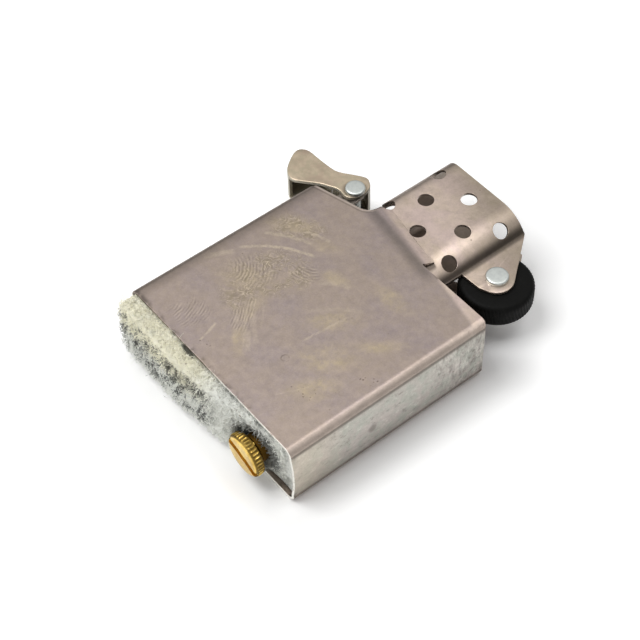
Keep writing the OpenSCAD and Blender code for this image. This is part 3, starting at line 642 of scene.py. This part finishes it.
def offStep(edge):
    # those two ends aren't rounded
    for vertex in edge.verts:
        place = vertex.co / mm
        past = pastStep(place)
        if min(abs(past - slopeStart), abs(past - slopeEnd)) > 0.05 \
                or abs(place.z - middlePlane) < 4.9 or place.x > 5:
            return True
    return False


shellPiece = softened("insert_shell", "insertShell", 0.06, smooth=50, pick=offStep, settle=levelStep)
settleNormals(shellPiece.data)
finishPiece(shellPiece, wornSteel(), "worn_steel", "insert", "insert_shell")
print("shell made")


# small steel parts
def plainMetal(name, base, stain, rough, size, seed, grain=0.02, metal=1):
    r = Recipe(name)
    colour = r.layers(base, (r.blots(size, seed, 0.38, 0.66) * 0.7, stain),
                      (r.blots(size * 0.25, seed + 3, 0.66, 0.74, 2, 0.5) * 0.45, stain))
    gloss = r.noise(size * 0.5, seed + 5, 3) * 0.16 + (rough - 0.08)
    return r.finish(colour, gloss, r.bump(r.noise(size * 0.3, seed + 7), grain, 0.6), metal)


finishPiece(softened("top_plate", "topPlate", 0.05),
            plainMetal("deckSteel", (150, 142, 134), (84, 76, 68), 0.42, 2, 41),
            "deck_steel", "insert", "top_plate")

cam = {"edge": 0.16, "base": (202, 186, 162), "stain": (182, 162, 144), "olive": (168, 162, 138),
       "rim": (158, 153, 136)}
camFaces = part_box("lid_cam")


def onCamFace(edge):
    heights = [v.co.z for v in edge.verts]
    return min(heights) > camFaces[1].z - 1e-5 or max(heights) < camFaces[0].z + 1e-5


def camSteel():
    r = Recipe("camSteel", cam)
    inner = r.step(abs(r.z - middlePlane), 2.49, 2.4)
    rings = r.vector("DISTANCE", r.place, (-14.7, 20.35, 8.1))
    colour = r.layers("base",
                      (r.blots(2.2, 51, 0.38, 0.64) * 0.8, "stain"),
                      (r.blots(0.9, 52, 0.4, 0.62, 5, 0.7) * 0.4, "olive"),
                      (inner * 0.85, "rim"),
                      (r.step(rings, 2.1, 1.5) * 0.6, steel["crease"]))
    return r.finish(colour, r.noise(0.7, 53, 3) * 0.14 + 0.32, r.bump(r.noise(0.5, 55), 0.014, 0.7),
                    1 - inner * 0.75)


finishPiece(softened("lid_cam", "lidCam", cam["edge"], angle=50, segments=3, pick=onCamFace),
            camSteel(), "cam_steel", "lid_cam", "lid_cam")

rivets = {"cam_rivet": {"name": "camRivet", "at": (-14.7, 20.35), "pin": 0.9, "head": 1.5, "grip": 2.52},
          "wheel_rivet": {"name": "wheelRivet", "at": (10.8, 24.7), "pin": 1, "head": 1.65, "grip": 2.49}}
rivetHead = {"height": 0.62, "crown": 0.06, "edge": 0.3, "sides": 64}


def rivetSteel():
    r = Recipe("rivetSteel")
    colour = r.mix(r.blots(0.7, 61, 0.4, 0.7, 3) * 0.5, (204, 208, 204), (182, 186, 184))
    normal = r.bump(r.noise(0.25, 65, 3, vector=r.mapped((1, 3, 1), 35)), 0.012, 0.7)
    return r.finish(colour, r.noise(0.3, 63, 3) * 0.12 + 0.36, normal, 1)


def makeRivet(sizes):
    # turned about Z, the same at both ends
    head, grip, edge, crown = sizes["head"], sizes["grip"], rivetHead["edge"], rivetHead["crown"]
    top = grip + rivetHead["height"]
    profile = [(head * s, top - crown * s * s) for s in (0.2, 0.4, 0.6)]
    profile += [(head - edge + edge * sin(a), top - crown * 0.7 - edge + edge * cos(a))
                for a in np.linspace(0, pi / 2, 6)]
    profile += [(head - 0.02, grip), (sizes["pin"], grip)]
    profile += [(r, -z) for r, z in reversed(profile)]
    sides, count = rivetHead["sides"], len(profile)
    points = [(sizes["at"][0] + r * cos(2 * pi * i / sides),
               sizes["at"][1] + r * sin(2 * pi * i / sides), middlePlane + z)
              for i in range(sides) for r, z in profile]
    faces = gridFaces(sides, count, flip=True)
    starts = [i * count for i in range(sides)]
    faces += [tuple(starts), tuple(i + count - 1 for i in reversed(starts))]
    mesh = meshFrom(sizes["name"], points, faces)
    shadeByAngle(mesh, 40)
    return addObject(sizes["name"], mesh)


rivetFinish = rivetSteel()
for rivetNode, rivetSizes in rivets.items():
    finishPiece(makeRivet(rivetSizes), rivetFinish, "rivet_steel", "insert", rivetNode)

finishPiece(softened("cam_spring", "camSpring", 0.03),
            plainMetal("springSteel", (138, 134, 128), (96, 88, 80), 0.36, 0.8, 71),
            "spring_steel", "insert", "cam_spring")
print("small steel parts made")


# flint wheel
wheel = {"middle": (10.8, 24.7, 5.6), "radius": 5.38, "thick": 3.8, "shoulder": 0.9, "bore": 1.06,
         "teeth": 64, "depth": 0.17, "skew": 0.5}


def makeWheel():
    half, rim, shoulder, bore = wheel["thick"] / 2, wheel["radius"], wheel["shoulder"], wheel["bore"]
    profile = [(bore, -half + 0.1), (bore + 0.1, -half), (2.2, -half), (3.4, -half)]
    profile += [(rim - shoulder + shoulder * sin(a), -half + shoulder - shoulder * cos(a))
                for a in np.linspace(0, pi / 2, 7)]
    profile += [(rim, s) for s in np.linspace(-(half - shoulder), half - shoulder, 8)[1:-1]]
    profile += [(r, -z) for r, z in reversed(profile[:11])]
    profile += [(bore, 0)]
    perTooth = 6
    turns = wheel["teeth"] * perTooth
    x, y, level = wheel["middle"]
    points = []
    for i in range(turns):
        angle = 2 * pi * i / turns
        for r, z in profile:
            onTread = clamp((r - (rim - 0.35)) / 0.3)
            phase = (i / perTooth + z * wheel["skew"]) % 1
            cut = wheel["depth"] * (phase if phase < 0.8 else (1 - phase) * 4)
            wear = 0.6 + 0.4 * noise.noise(Vector((cos(angle) * 2, sin(angle) * 2, z)))
            r = r - onTread * cut * wear
            points.append((x + r * cos(angle), y + r * sin(angle), level + z))
    mesh = meshFrom("flintWheel", points, gridFaces(turns, len(profile), loopColumns=True))
    shadeByAngle(mesh, 50)
    return addObject("flintWheel", mesh)


def blackSteel():
    r = Recipe("blackSteel")
    colour = r.layers((4, 4, 3),
                      (r.blots(1.6, 81, 0.45, 0.75), (11, 11, 9)),
                      (r.blots(0.5, 83, 0.6, 0.8, 3) * 0.4, (40, 40, 35)),
                      (r.blots(1.1, 84, 0.66, 0.8, 3) * 0.25, (62, 50, 36)))
    normal = r.bump(r.noise(0.35, 87, 4, 0.65), 0.06, 0.9)
    return r.finish(colour, r.noise(0.8, 85, 3) * 0.25 + 0.5, normal, shine=0.12)


finishPiece(makeWheel(), blackSteel(), "black_steel", "flint_wheel", "flint_wheel")
print("flint wheel made")


# brass tube, flint and screw
screw = {"radius": 3.22, "back": -18, "front": -19.5, "edge": 0.3, "knurls": 38, "depth": 0.13,
         "shank": 1.48, "shankEnd": -12.7, "tip": 0.64, "tipEnd": -11.5, "thread": 0.7, "threadDepth": 0.16,
         "slotWide": 1.2, "slotDeep": 0.42, "slotTurn": 22}


def brass(name, base, dirtyFrom, dirtyTo, rough):
    # grime sits in the valleys, between the two distances from the tube's axis
    r = Recipe(name)
    local = r.vector("SUBTRACT", r.place, (feedAxis[0], 0, feedAxis[1]))
    away = r.vector("LENGTH", r.vector("MULTIPLY", local, (1, 0, 1)))
    valley = r.zone((away, dirtyTo, dirtyFrom), (away, dirtyFrom - 0.25, dirtyFrom - 0.1))
    # the slot and the middle of the face hold grime
    face = screw["front"]
    deep = r.zone((r.y, face + 0.14, face + 0.3), (away, dirtyFrom - 0.2, dirtyFrom - 0.4))
    colour = r.layers(base,
                      (r.blots(1.1, 91, 0.4, 0.65) * 0.55, (184, 142, 54)),
                      (valley * 0.85, (74, 54, 20)),
                      (r.blots(0.6, 95, 0.3, 0.7, 3) * 0.3, (128, 96, 36)),
                      (deep * 0.3, (170, 130, 46)))
    gloss = r.noise(0.5, 97, 3) * 0.16 + (rough - 0.06) + valley * 0.25
    return r.finish(colour, gloss, r.bump(r.noise(0.4, 99), 0.02, 0.7), 1)


def makeScrew():
    face, back, rim, edge = screw["front"], screw["back"], screw["radius"], screw["edge"]
    shank, shankEnd, tip, tipEnd = (screw[k] for k in ("shank", "shankEnd", "tip", "tipEnd"))
    axisX, axisZ = feedAxis
    profile = [(rim * s * 0.82, face + 0.1 - 0.08 * s * s) for s in (0.35, 0.7, 1)]
    profile += [(rim - edge * 1.2, face + 0.08), (rim - edge * 0.5, face + 0.26), (rim, face + 0.5)]
    profile += [(rim, s) for s in np.linspace(face + 0.6, back - edge - 0.1, 5)]
    profile += [(rim - edge * 0.3, back - edge * 0.4), (rim - edge, back), (1.9, back), (shank, back)]
    rows = int((shankEnd - back) / screw["thread"] * 8)
    profile += [(shank, s) for s in np.linspace(back, shankEnd, rows)[1:]]
    profile += [(tip, shankEnd + 0.1), (tip, tipEnd - 0.15), (tip - 0.15, tipEnd)]
    turns, count = screw["knurls"] * 4, len(profile)
    points = []
    for i in range(turns):
        angle = 2 * pi * i / turns
        for r, y in profile:
            if r > rim - 0.05:
                r -= screw["depth"] * (0.5 - 0.5 * cos(angle * screw["knurls"])) ** 0.7
            if abs(r - shank) < 1e-6 and y > back + 0.2:
                phase = ((y - back) / screw["thread"] - i / turns) % 1
                r -= screw["threadDepth"] * abs(2 * phase - 1)
            points.append((axisX + r * cos(angle), y, axisZ + r * sin(angle)))
    faces = gridFaces(turns, count)
    points += [(axisX, face, axisZ), (axisX, tipEnd, axisZ)]
    headPoint, tipPoint = len(points) - 2, len(points) - 1
    for i in range(turns):
        here, there = i * count, (i + 1) % turns * count
        faces += [(headPoint, there, here), (tipPoint, here + count - 1, there + count - 1)]
    mesh = meshFrom("flintScrew", points, faces)
    faceOutwards(mesh)
    piece = addObject("flintScrew", mesh)
    cutter = bmesh.new()
    bmesh.ops.create_cube(cutter, size=1)
    deep = screw["slotDeep"] + 1
    bmesh.ops.transform(cutter, verts=cutter.verts, matrix=Matrix.Translation(
        Vector((axisX, face - 1 + deep / 2, axisZ)) * mm)
        @ Matrix.Rotation(radians(screw["slotTurn"]), 4, "Y")
        @ Matrix.Diagonal((9 * mm, deep * mm, screw["slotWide"] * mm, 1)))
    slotBox = addObject("slotCutter", meshOf(cutter, "slotCutter"))
    cut = piece.modifiers.new("slot", "BOOLEAN")
    cut.operation, cut.solver, cut.object = "DIFFERENCE", "EXACT", slotBox
    bakeModifiers(piece)
    bpy.data.objects.remove(slotBox)
    shadeByAngle(piece.data, 32)
    return piece


finishPiece(softened("flint_tube", "flintTube", 0.06), brass("tubeBrass", (226, 172, 76), 1.7, 1.4, 0.42),
            "tube_brass", "insert", "flint_tube")
finishPiece(makeScrew(), brass("screwBrass", (238, 206, 116), 3.12, 3.22, 0.18),
            "screw_brass", "flint_screw", "flint_screw")
finishPiece(softened("flint", "flintRod", 0.08),
            plainMetal("flintMetal", (104, 102, 104), (66, 62, 60), 0.6, 0.8, 101, 0.04, 0.8),
            "flint_metal", "flint_feed", "flint")
finishPiece(softened("flint_plunger", "flintPlunger", 0.06),
            plainMetal("plungerSteel", (160, 158, 154), (120, 116, 110), 0.3, 0.8, 111),
            "spring_steel", "flint_feed", "flint_plunger")


# a geometry node group with named numbers
class Tree(Graph):
    def __init__(self, name, numbers):
        super().__init__(bpy.data.node_groups.new(name, "GeometryNodeTree"))
        self.numbers = numbers
        for way in ("INPUT", "OUTPUT"):
            self.tree.interface.new_socket("Geometry", in_out=way, socket_type="NodeSocketGeometry")
        for label in numbers:
            self.tree.interface.new_socket(label, in_out="INPUT", socket_type="NodeSocketFloat")
        self.source = self.add("NodeGroupInput")

    def run(self, shape, material, piece):
        real = self.add("GeometryNodeRealizeInstances", {"Geometry": shape})
        painted = self.add("GeometryNodeSetMaterial", {"Geometry": real, "Material": material})
        self.connect(self.tree.nodes.new("NodeGroupOutput").inputs[0], painted)
        modifier = piece.modifiers.new(self.tree.name, "NODES")
        modifier.node_group = self.tree
        for item in self.tree.interface.items_tree:
            if item.in_out == "INPUT" and item.name in self.numbers:
                modifier[item.identifier] = float(self.numbers[item.name])
        return bakeModifiers(piece)


# the coil behind the plunger
coil = {"low": -12.6, "high": 11, "radius": 0.94, "wire": 0.18, "pitch": 0.85}


def makeCoil(material):
    length = coil["high"] - coil["low"] - 2 * coil["wire"]
    tree = Tree("coil", {"Radius": coil["radius"] * mm, "Wire": coil["wire"] * mm, "Length": length * mm,
                         "Turns": length / coil["pitch"]})
    radius, wire, height, turns = (tree.source.other(k) for k in ("Radius", "Wire", "Length", "Turns"))
    spiral = tree.add("GeometryNodeCurveSpiral", {"Resolution": 18, "Rotations": turns, "Height": height,
                                                  "Start Radius": radius, "End Radius": radius})
    ring = tree.add("GeometryNodeCurvePrimitiveCircle", {"Resolution": 8, "Radius": wire})
    body = tree.add("GeometryNodeCurveToMesh", {"Curve": spiral, "Profile Curve": ring, "Fill Caps": True})
    start = (feedAxis[0] * mm, (coil["low"] + coil["wire"]) * mm, feedAxis[1] * mm)
    turned = tree.add("GeometryNodeTransform",
                      {"Geometry": body, "Rotation": (-pi / 2, 0, 0), "Translation": start})
    smooth = tree.add("GeometryNodeSetShadeSmooth", {"Geometry": turned})
    return tree.run(smooth, material, addObject("flintSpring", bpy.data.meshes.new("flintSpring")))


finishPiece(makeCoil(plainMetal("coilSteel", (186, 184, 178), (140, 134, 124), 0.28, 0.6, 121)),
            None, "spring_steel", "flint_feed", "flint_spring")
print("brass and feed parts made")


# felt
felt = {"voxel": 0.22, "lump": 0.34, "fine": 0.17, "swell": 0.06, "round": 0.13, "roundFrom": 2.7,
        "corner": 2, "cream": (255, 252, 232), "white": (250, 251, 245), "grey": (212, 214, 206),
        "ink": (50, 52, 46), "crumb": (132, 116, 88), "fibres": 9000, "fibre": 0.7, "long": 420}
foldGap = ((3.2, -18, 0.9), (4.6, -15.2, 10.3))     # corners of the box that closes the gap at the fold


def readVectors(mesh, name):
    values = np.zeros(len(mesh.vertices) * 3)
    mesh.vertices.foreach_get(name, values)
    return values.reshape(-1, 3)


def makeFelt():
    # the two CAD blocks with the gap at the fold closed, remeshed, then lumped up
    work = bmesh.new()
    for node in ("felt_pad", "felt_flap"):
        work.from_mesh(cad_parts[node].data)
    bmesh.ops.remove_doubles(work, verts=work.verts, dist=2e-6)
    for v in bmesh.ops.create_cube(work, size=1)["verts"]:
        v.co = Vector([foldGap[0 if v.co[i] < 0 else 1][i] * mm for i in range(3)])
    piece = addObject("feltSlab", meshOf(work, "feltSlab"))
    remesh = piece.modifiers.new("remesh", "REMESH")
    remesh.mode, remesh.voxel_size = "VOXEL", felt["voxel"] * mm
    relax = piece.modifiers.new("relax", "SMOOTH")
    relax.factor, relax.iterations = 0.5, 3
    mesh = bakeModifiers(piece).data
    places, normals = readVectors(mesh, "co") / mm, readVectors(mesh, "normal")
    for i in range(len(places)):
        p = Vector(places[i])
        outside = clamp((feltEnd + 0.6 - p.y) / 0.8)
        lump = noise.noise(p / 2.4) * felt["lump"] + noise.noise(p / 0.7 + Vector((5, 5, 5))) * felt["fine"]
        # the pad swells out of the tank a little, is rounded off below and thin in the corner by the screw
        places[i] += normals[i] * (lump * (0.35 + 0.65 * outside) + felt["swell"] * outside)
        low = max(0, felt["roundFrom"] - p.z) * outside
        corner = clamp((p.x - 11.5) / 2.5) * clamp((4.4 - p.z) / 1.8) * outside
        places[i][1] += felt["round"] * low * low + felt["corner"] * corner
    mesh.vertices.foreach_set("co", (places * mm).ravel())
    mesh.update()
    shadeByAngle(mesh, 180)
    return piece


def feltColour(r, pale=0):
    x, y, z = r.x, r.y, r.z
    # smudges of soot over the lower half, broken up with no outline of their own
    smear = r.blots(1.5, 135, 0.49, 0.53, 2, twist=0.7, vector=r.mapped((0.75, 1, 1.5)))
    smear = smear * r.blots(2.6, 137, 0.36, 0.44, 3) * (r.blots(0.6, 136, 0.36, 0.48, 3) * 0.5 + 0.5)
    zone = r.zone((z, 10.2, 9.4), (z, 1.4, 2.6), (x, 4.5, 1.5))
    crumbs = r.blots(0.4, 138, 0.6, 0.68, 2, 0.5) * r.step(z, 8.8, 10)
    stain = r.step(r.vector("DISTANCE", r.warp(1.2, 1.1, 7), (10.8, -16.9, 5.8)), 5.2, 3.6)
    # painted shadow of the gap between felt and shell, along the shell's edge
    rim = r.blots(1.4, 141, 0.44, 0.56) * r.step(x, -14, -9) * r.step(y, -17, -16.7) * 0.35
    rim = r.joined(rim, r.oval(-4.2, -16.65, 1.7, 0.45, 0, 0.4, r.warp(1, 0.5, 4)))
    return r.layers("white",
                    (r.zone((z, 5, 9), (x, 5, -3)), "cream"),
                    (r.blots(1.4, 131, 0.5, 0.7, 5, 0.7) * 0.35, "grey"),
                    # greyer towards the screw
                    (r.step(x, 1, 8) * 0.3, "grey"),
                    (smear * zone * (0.95 - pale), "ink"),
                    (crumbs * 0.55, "crumb"),
                    (stain * (0.85 - pale), "ink"),
                    # painted shadow along the shell's edge
                    (rim * r.step(z, 9.8, 10.4) * 0.85, "ink"))


def feltFinish():
    r = Recipe("woolFelt", felt)
    normal = r.bump(r.noise(0.35, 143, 4, 0.75, 1), 0.35, 1)
    return r.finish(feltColour(r), 0.95, r.bump(r.noise(1, 145, 3), 0.6, 0.8, normal), shine=0.2)


def fibreFinish():
    r = Recipe("woolFibre", felt)
    return r.finish(feltColour(r, 0.15), 0.9, shine=0.2)


def makeFuzz(name, source, material, count, length, thick, seed, lowest=1000, floor=0, sections=3):
    # curled hairs standing on the source's faces, those below lowest in Y and above floor in Z
    tree = Tree(name, {"Hair Count": count, "Hair Length": length * mm, "Hair Thickness": thick * mm,
                       "Seed": seed})
    number, hairLength, hairThick = (tree.source.other("Hair " + k) for k in ("Count", "Length", "Thickness"))
    _, placeY, placeZ = tree.parts(tree.add("GeometryNodeInputPosition"))
    shown = tree.add("FunctionNodeCompare", {0: placeY, 1: lowest * mm}, operation="LESS_THAN")
    clear = tree.add("FunctionNodeCompare", {0: placeZ, 1: floor * mm}, operation="GREATER_THAN")
    both = tree.add("FunctionNodeBooleanMath", {0: shown, 1: clear}, operation="AND")
    area = max(1e-9, sum(f.area for f in source.data.polygons if f.center.y < lowest * mm))
    points = tree.add("GeometryNodeDistributePointsOnFaces",
                      {"Mesh": tree.source, "Selection": both, "Density": number / area, "Seed": seed})
    arc = tree.add("GeometryNodeCurvePrimitiveBezierSegment",
                   {"Resolution": sections, "Start": (0, 0, -0.05), "Start Handle": (0, 0, 0.5),
                    "End Handle": (0.5, 0.15, 0.7), "End": (0.85, -0.1, 0.55)})
    ring = tree.add("GeometryNodeCurvePrimitiveCircle", {"Resolution": 3, "Radius": 1})
    relative = hairThick / hairLength
    size = tree.add("ShaderNodeCombineXYZ", {0: relative, 1: relative, 2: 1})
    thin = tree.add("GeometryNodeTransform", {"Geometry": ring, "Scale": size})
    hair = tree.add("GeometryNodeCurveToMesh", {"Curve": arc, "Profile Curve": thin, "Fill Caps": True})
    spin = tree.add("FunctionNodeRandomValue", {0: (-0.9, -0.9, 0), 1: (0.9, 0.9, 6.283), "Seed": seed + 1},
                    data_type="FLOAT_VECTOR")
    spin = tree.add("FunctionNodeEulerToRotation", {0: spin})
    turned = tree.add("FunctionNodeRotateRotation", {0: points.other("Rotation"), 1: spin},
                      rotation_space="LOCAL")
    grow = tree.add("FunctionNodeRandomValue", {2: 0.35, 3: 1.25, "Seed": seed + 2}, 1, data_type="FLOAT")
    spread = tree.add("GeometryNodeInstanceOnPoints", {"Points": points, "Instance": hair,
                                                       "Rotation": turned, "Scale": grow * hairLength})
    return tree.run(spread, material, addObject(name, source.data.copy()))


feltPiece = makeFelt()
paint(feltPiece, feltFinish())
fibreLook = fibreFinish()
fuzzPiece = makeFuzz("feltFuzz", feltPiece, fibreLook, felt["fibres"], felt["fibre"], 0.034, 3,
                     feltEnd + 0.25, 0.9)
longPiece = makeFuzz("feltHairs", feltPiece, fibreLook, felt["long"], felt["fibre"] * 2.3, 0.024, 7,
                     feltEnd - 0.2, 1.9, 6)
for softPiece in (feltPiece, fuzzPiece, longPiece):
    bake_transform(softPiece)
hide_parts("felt_pad", "felt_flap")
print("felt made")


# wick
wick = {"radius": 1.42, "strands": 6, "lead": 9, "width": 0.4, "height": 0.13, "top": 26.1,
        "straight": 13.45, "bend": 4, "shift": 3.6, "low": -12.9, "x": -1}


def wickPath(step=0.3):
    # straight down the chimney, over by two equal bends, and straight down the tank
    x, r, straight = wick["x"], wick["bend"], wick["straight"]
    angle = math.acos(1 - wick["shift"] / (2 * r))
    count = int(angle * r / step)
    lowX, lowY = x - wick["shift"], straight - 2 * r * sin(angle)
    path = [(x, y) for y in np.arange(wick["top"], straight, -step)]
    path += [(x - r * (1 - cos(a)), straight - r * sin(a)) for a in np.linspace(0, angle, count)]
    path += [(lowX + r * (1 - cos(a)), lowY + r * sin(a)) for a in np.linspace(angle, 0, count)[1:]]
    path += [(lowX, y) for y in np.arange(lowY - step, wick["low"], -step)]
    return np.array([(x, y, middlePlane) for x, y in path])


def makeWick():
    radius, height, strands = wick["radius"], wick["height"], wick["strands"]
    spots = wickPath()
    ahead = np.gradient(spots, axis=0)
    ahead /= np.linalg.norm(ahead, axis=1)[:, None]
    up = np.array([0, 0, 1])
    across = np.cross(up, ahead)
    along = np.concatenate([[0], np.cumsum(np.linalg.norm(np.diff(spots, axis=0), axis=1))])
    points, faces = [], []

    def tube(rings):
        first, count, sides = len(points), len(rings), len(rings[0])
        for ring in rings:
            points.extend(ring)
        faces.extend(gridFaces(count, sides, False, True, True, first))
        faces.append(tuple(range(first + sides - 1, first - 1, -1)))
        faces.append(tuple(range(first + (count - 1) * sides, first + count * sides)))

    core = radius - 2.6 * height
    tube([[spots[i] + core * (across[i] * cos(t) + up * sin(t))
           for t in np.linspace(0, 2 * pi, 12, endpoint=False)] for i in range(0, len(spots), 3)])
    for way in (1, -1):
        for strand in range(strands):
            rings = []
            for i in range(len(spots)):
                turn = way * 2 * pi * along[i] / wick["lead"] + 2 * pi * strand / strands
                cross = cos(strands * 2 * pi * along[i] / wick["lead"])
                lift = radius - height * (1.3 - 0.9 * way * cross)
                out = across[i] * cos(turn) + up * sin(turn)
                sideways = -across[i] * sin(turn) + up * cos(turn)
                rings.append([spots[i] + out * (lift + height * sin(t)) + sideways * wick["width"] * cos(t)
                              for t in np.linspace(0, 2 * pi, 6, endpoint=False)])
            tube(rings)
    mesh = meshFrom("wickBraid", points, faces)
    faceOutwards(mesh)
    shadeByAngle(mesh, 60)
    return addObject("wickBraid", mesh)


def wickFinish():
    r = Recipe("wickCotton")
    burnt = r.step(r.y + r.noise(1.5, 153, 3, 0.55) * 4, 20, 26)
    colour = r.layers((208, 199, 176), (r.blots(1, 151, 0.4, 0.7), (180, 168, 140)),
                      (burnt * 0.95, (30, 27, 24)))
    return r.finish(colour, 0.92, r.bump(r.noise(0.15, 155, 3, 0.7), 0.06, 0.9), shine=0.2)


finishPiece(makeWick(), wickFinish(), "wick_cotton", "insert", "wick")


# cotton wadding
cotton = {"fold": 0.55, "fine": 0.16, "square": 3.4, "hairs": 500, "hair": 0.55}


def makeCotton(index):
    low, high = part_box(f"cotton_ball_{index}")
    middle, half = (low + high) / 2, (high - low) / 2
    work = bmesh.new()
    bmesh.ops.create_icosphere(work, subdivisions=5, radius=1)
    shift, power = Vector((index * 7.3, index * 3.1, 0)), cotton["square"]
    for v in work.verts:
        d = v.co.normalized()
        # a squarish pill, so that it fills its place, with folds pressed into it
        spread = (abs(d.x) ** power + abs(d.y) ** power + abs(d.z) ** power) ** (-1 / power)
        p = Vector((d.x * half.x, d.y * half.y, d.z * half.z)) * min(spread, 1.16)
        fold = abs(noise.noise(p / mm / 2.6 + shift)) * cotton["fold"]
        fine = abs(noise.noise(p / mm / 0.7 + shift)) * cotton["fine"]
        flat = Vector((p.x, p.y, 0))
        if flat.length > half.x:
            p = Vector((p.x * half.x / flat.length, p.y * half.x / flat.length, p.z))
        v.co = middle + p * (1 - (fold + fine + 0.02) / 4)
    mesh = meshOf(work, f"cottonBall{index}")
    shadeByAngle(mesh, 180)
    return addObject(f"cottonBall{index}", mesh)


def cottonFinish():
    r = Recipe("cottonWool")
    colour = r.mix(r.blots(1.8, 161, 0.4, 0.7), (232, 230, 222), (206, 200, 182))
    return r.finish(colour, 0.95, r.bump(r.noise(0.3, 163, 4, 0.7, 1.5), 0.15, 0.9), shine=0.15)


cottonLook = cottonFinish()
for ball in range(1, 7):
    cottonPiece = makeCotton(ball)
    paint(cottonPiece, cottonLook)
    tufts = makeFuzz(f"cottonTufts{ball}", cottonPiece, cottonLook, cotton["hairs"], cotton["hair"], 0.02,
                     20 + ball)
    finishPiece(cottonPiece, None, "cotton", "insert", f"cotton_ball_{ball}")
    finishPiece(tufts, None, "cotton", "insert")
print("wick and cotton made")
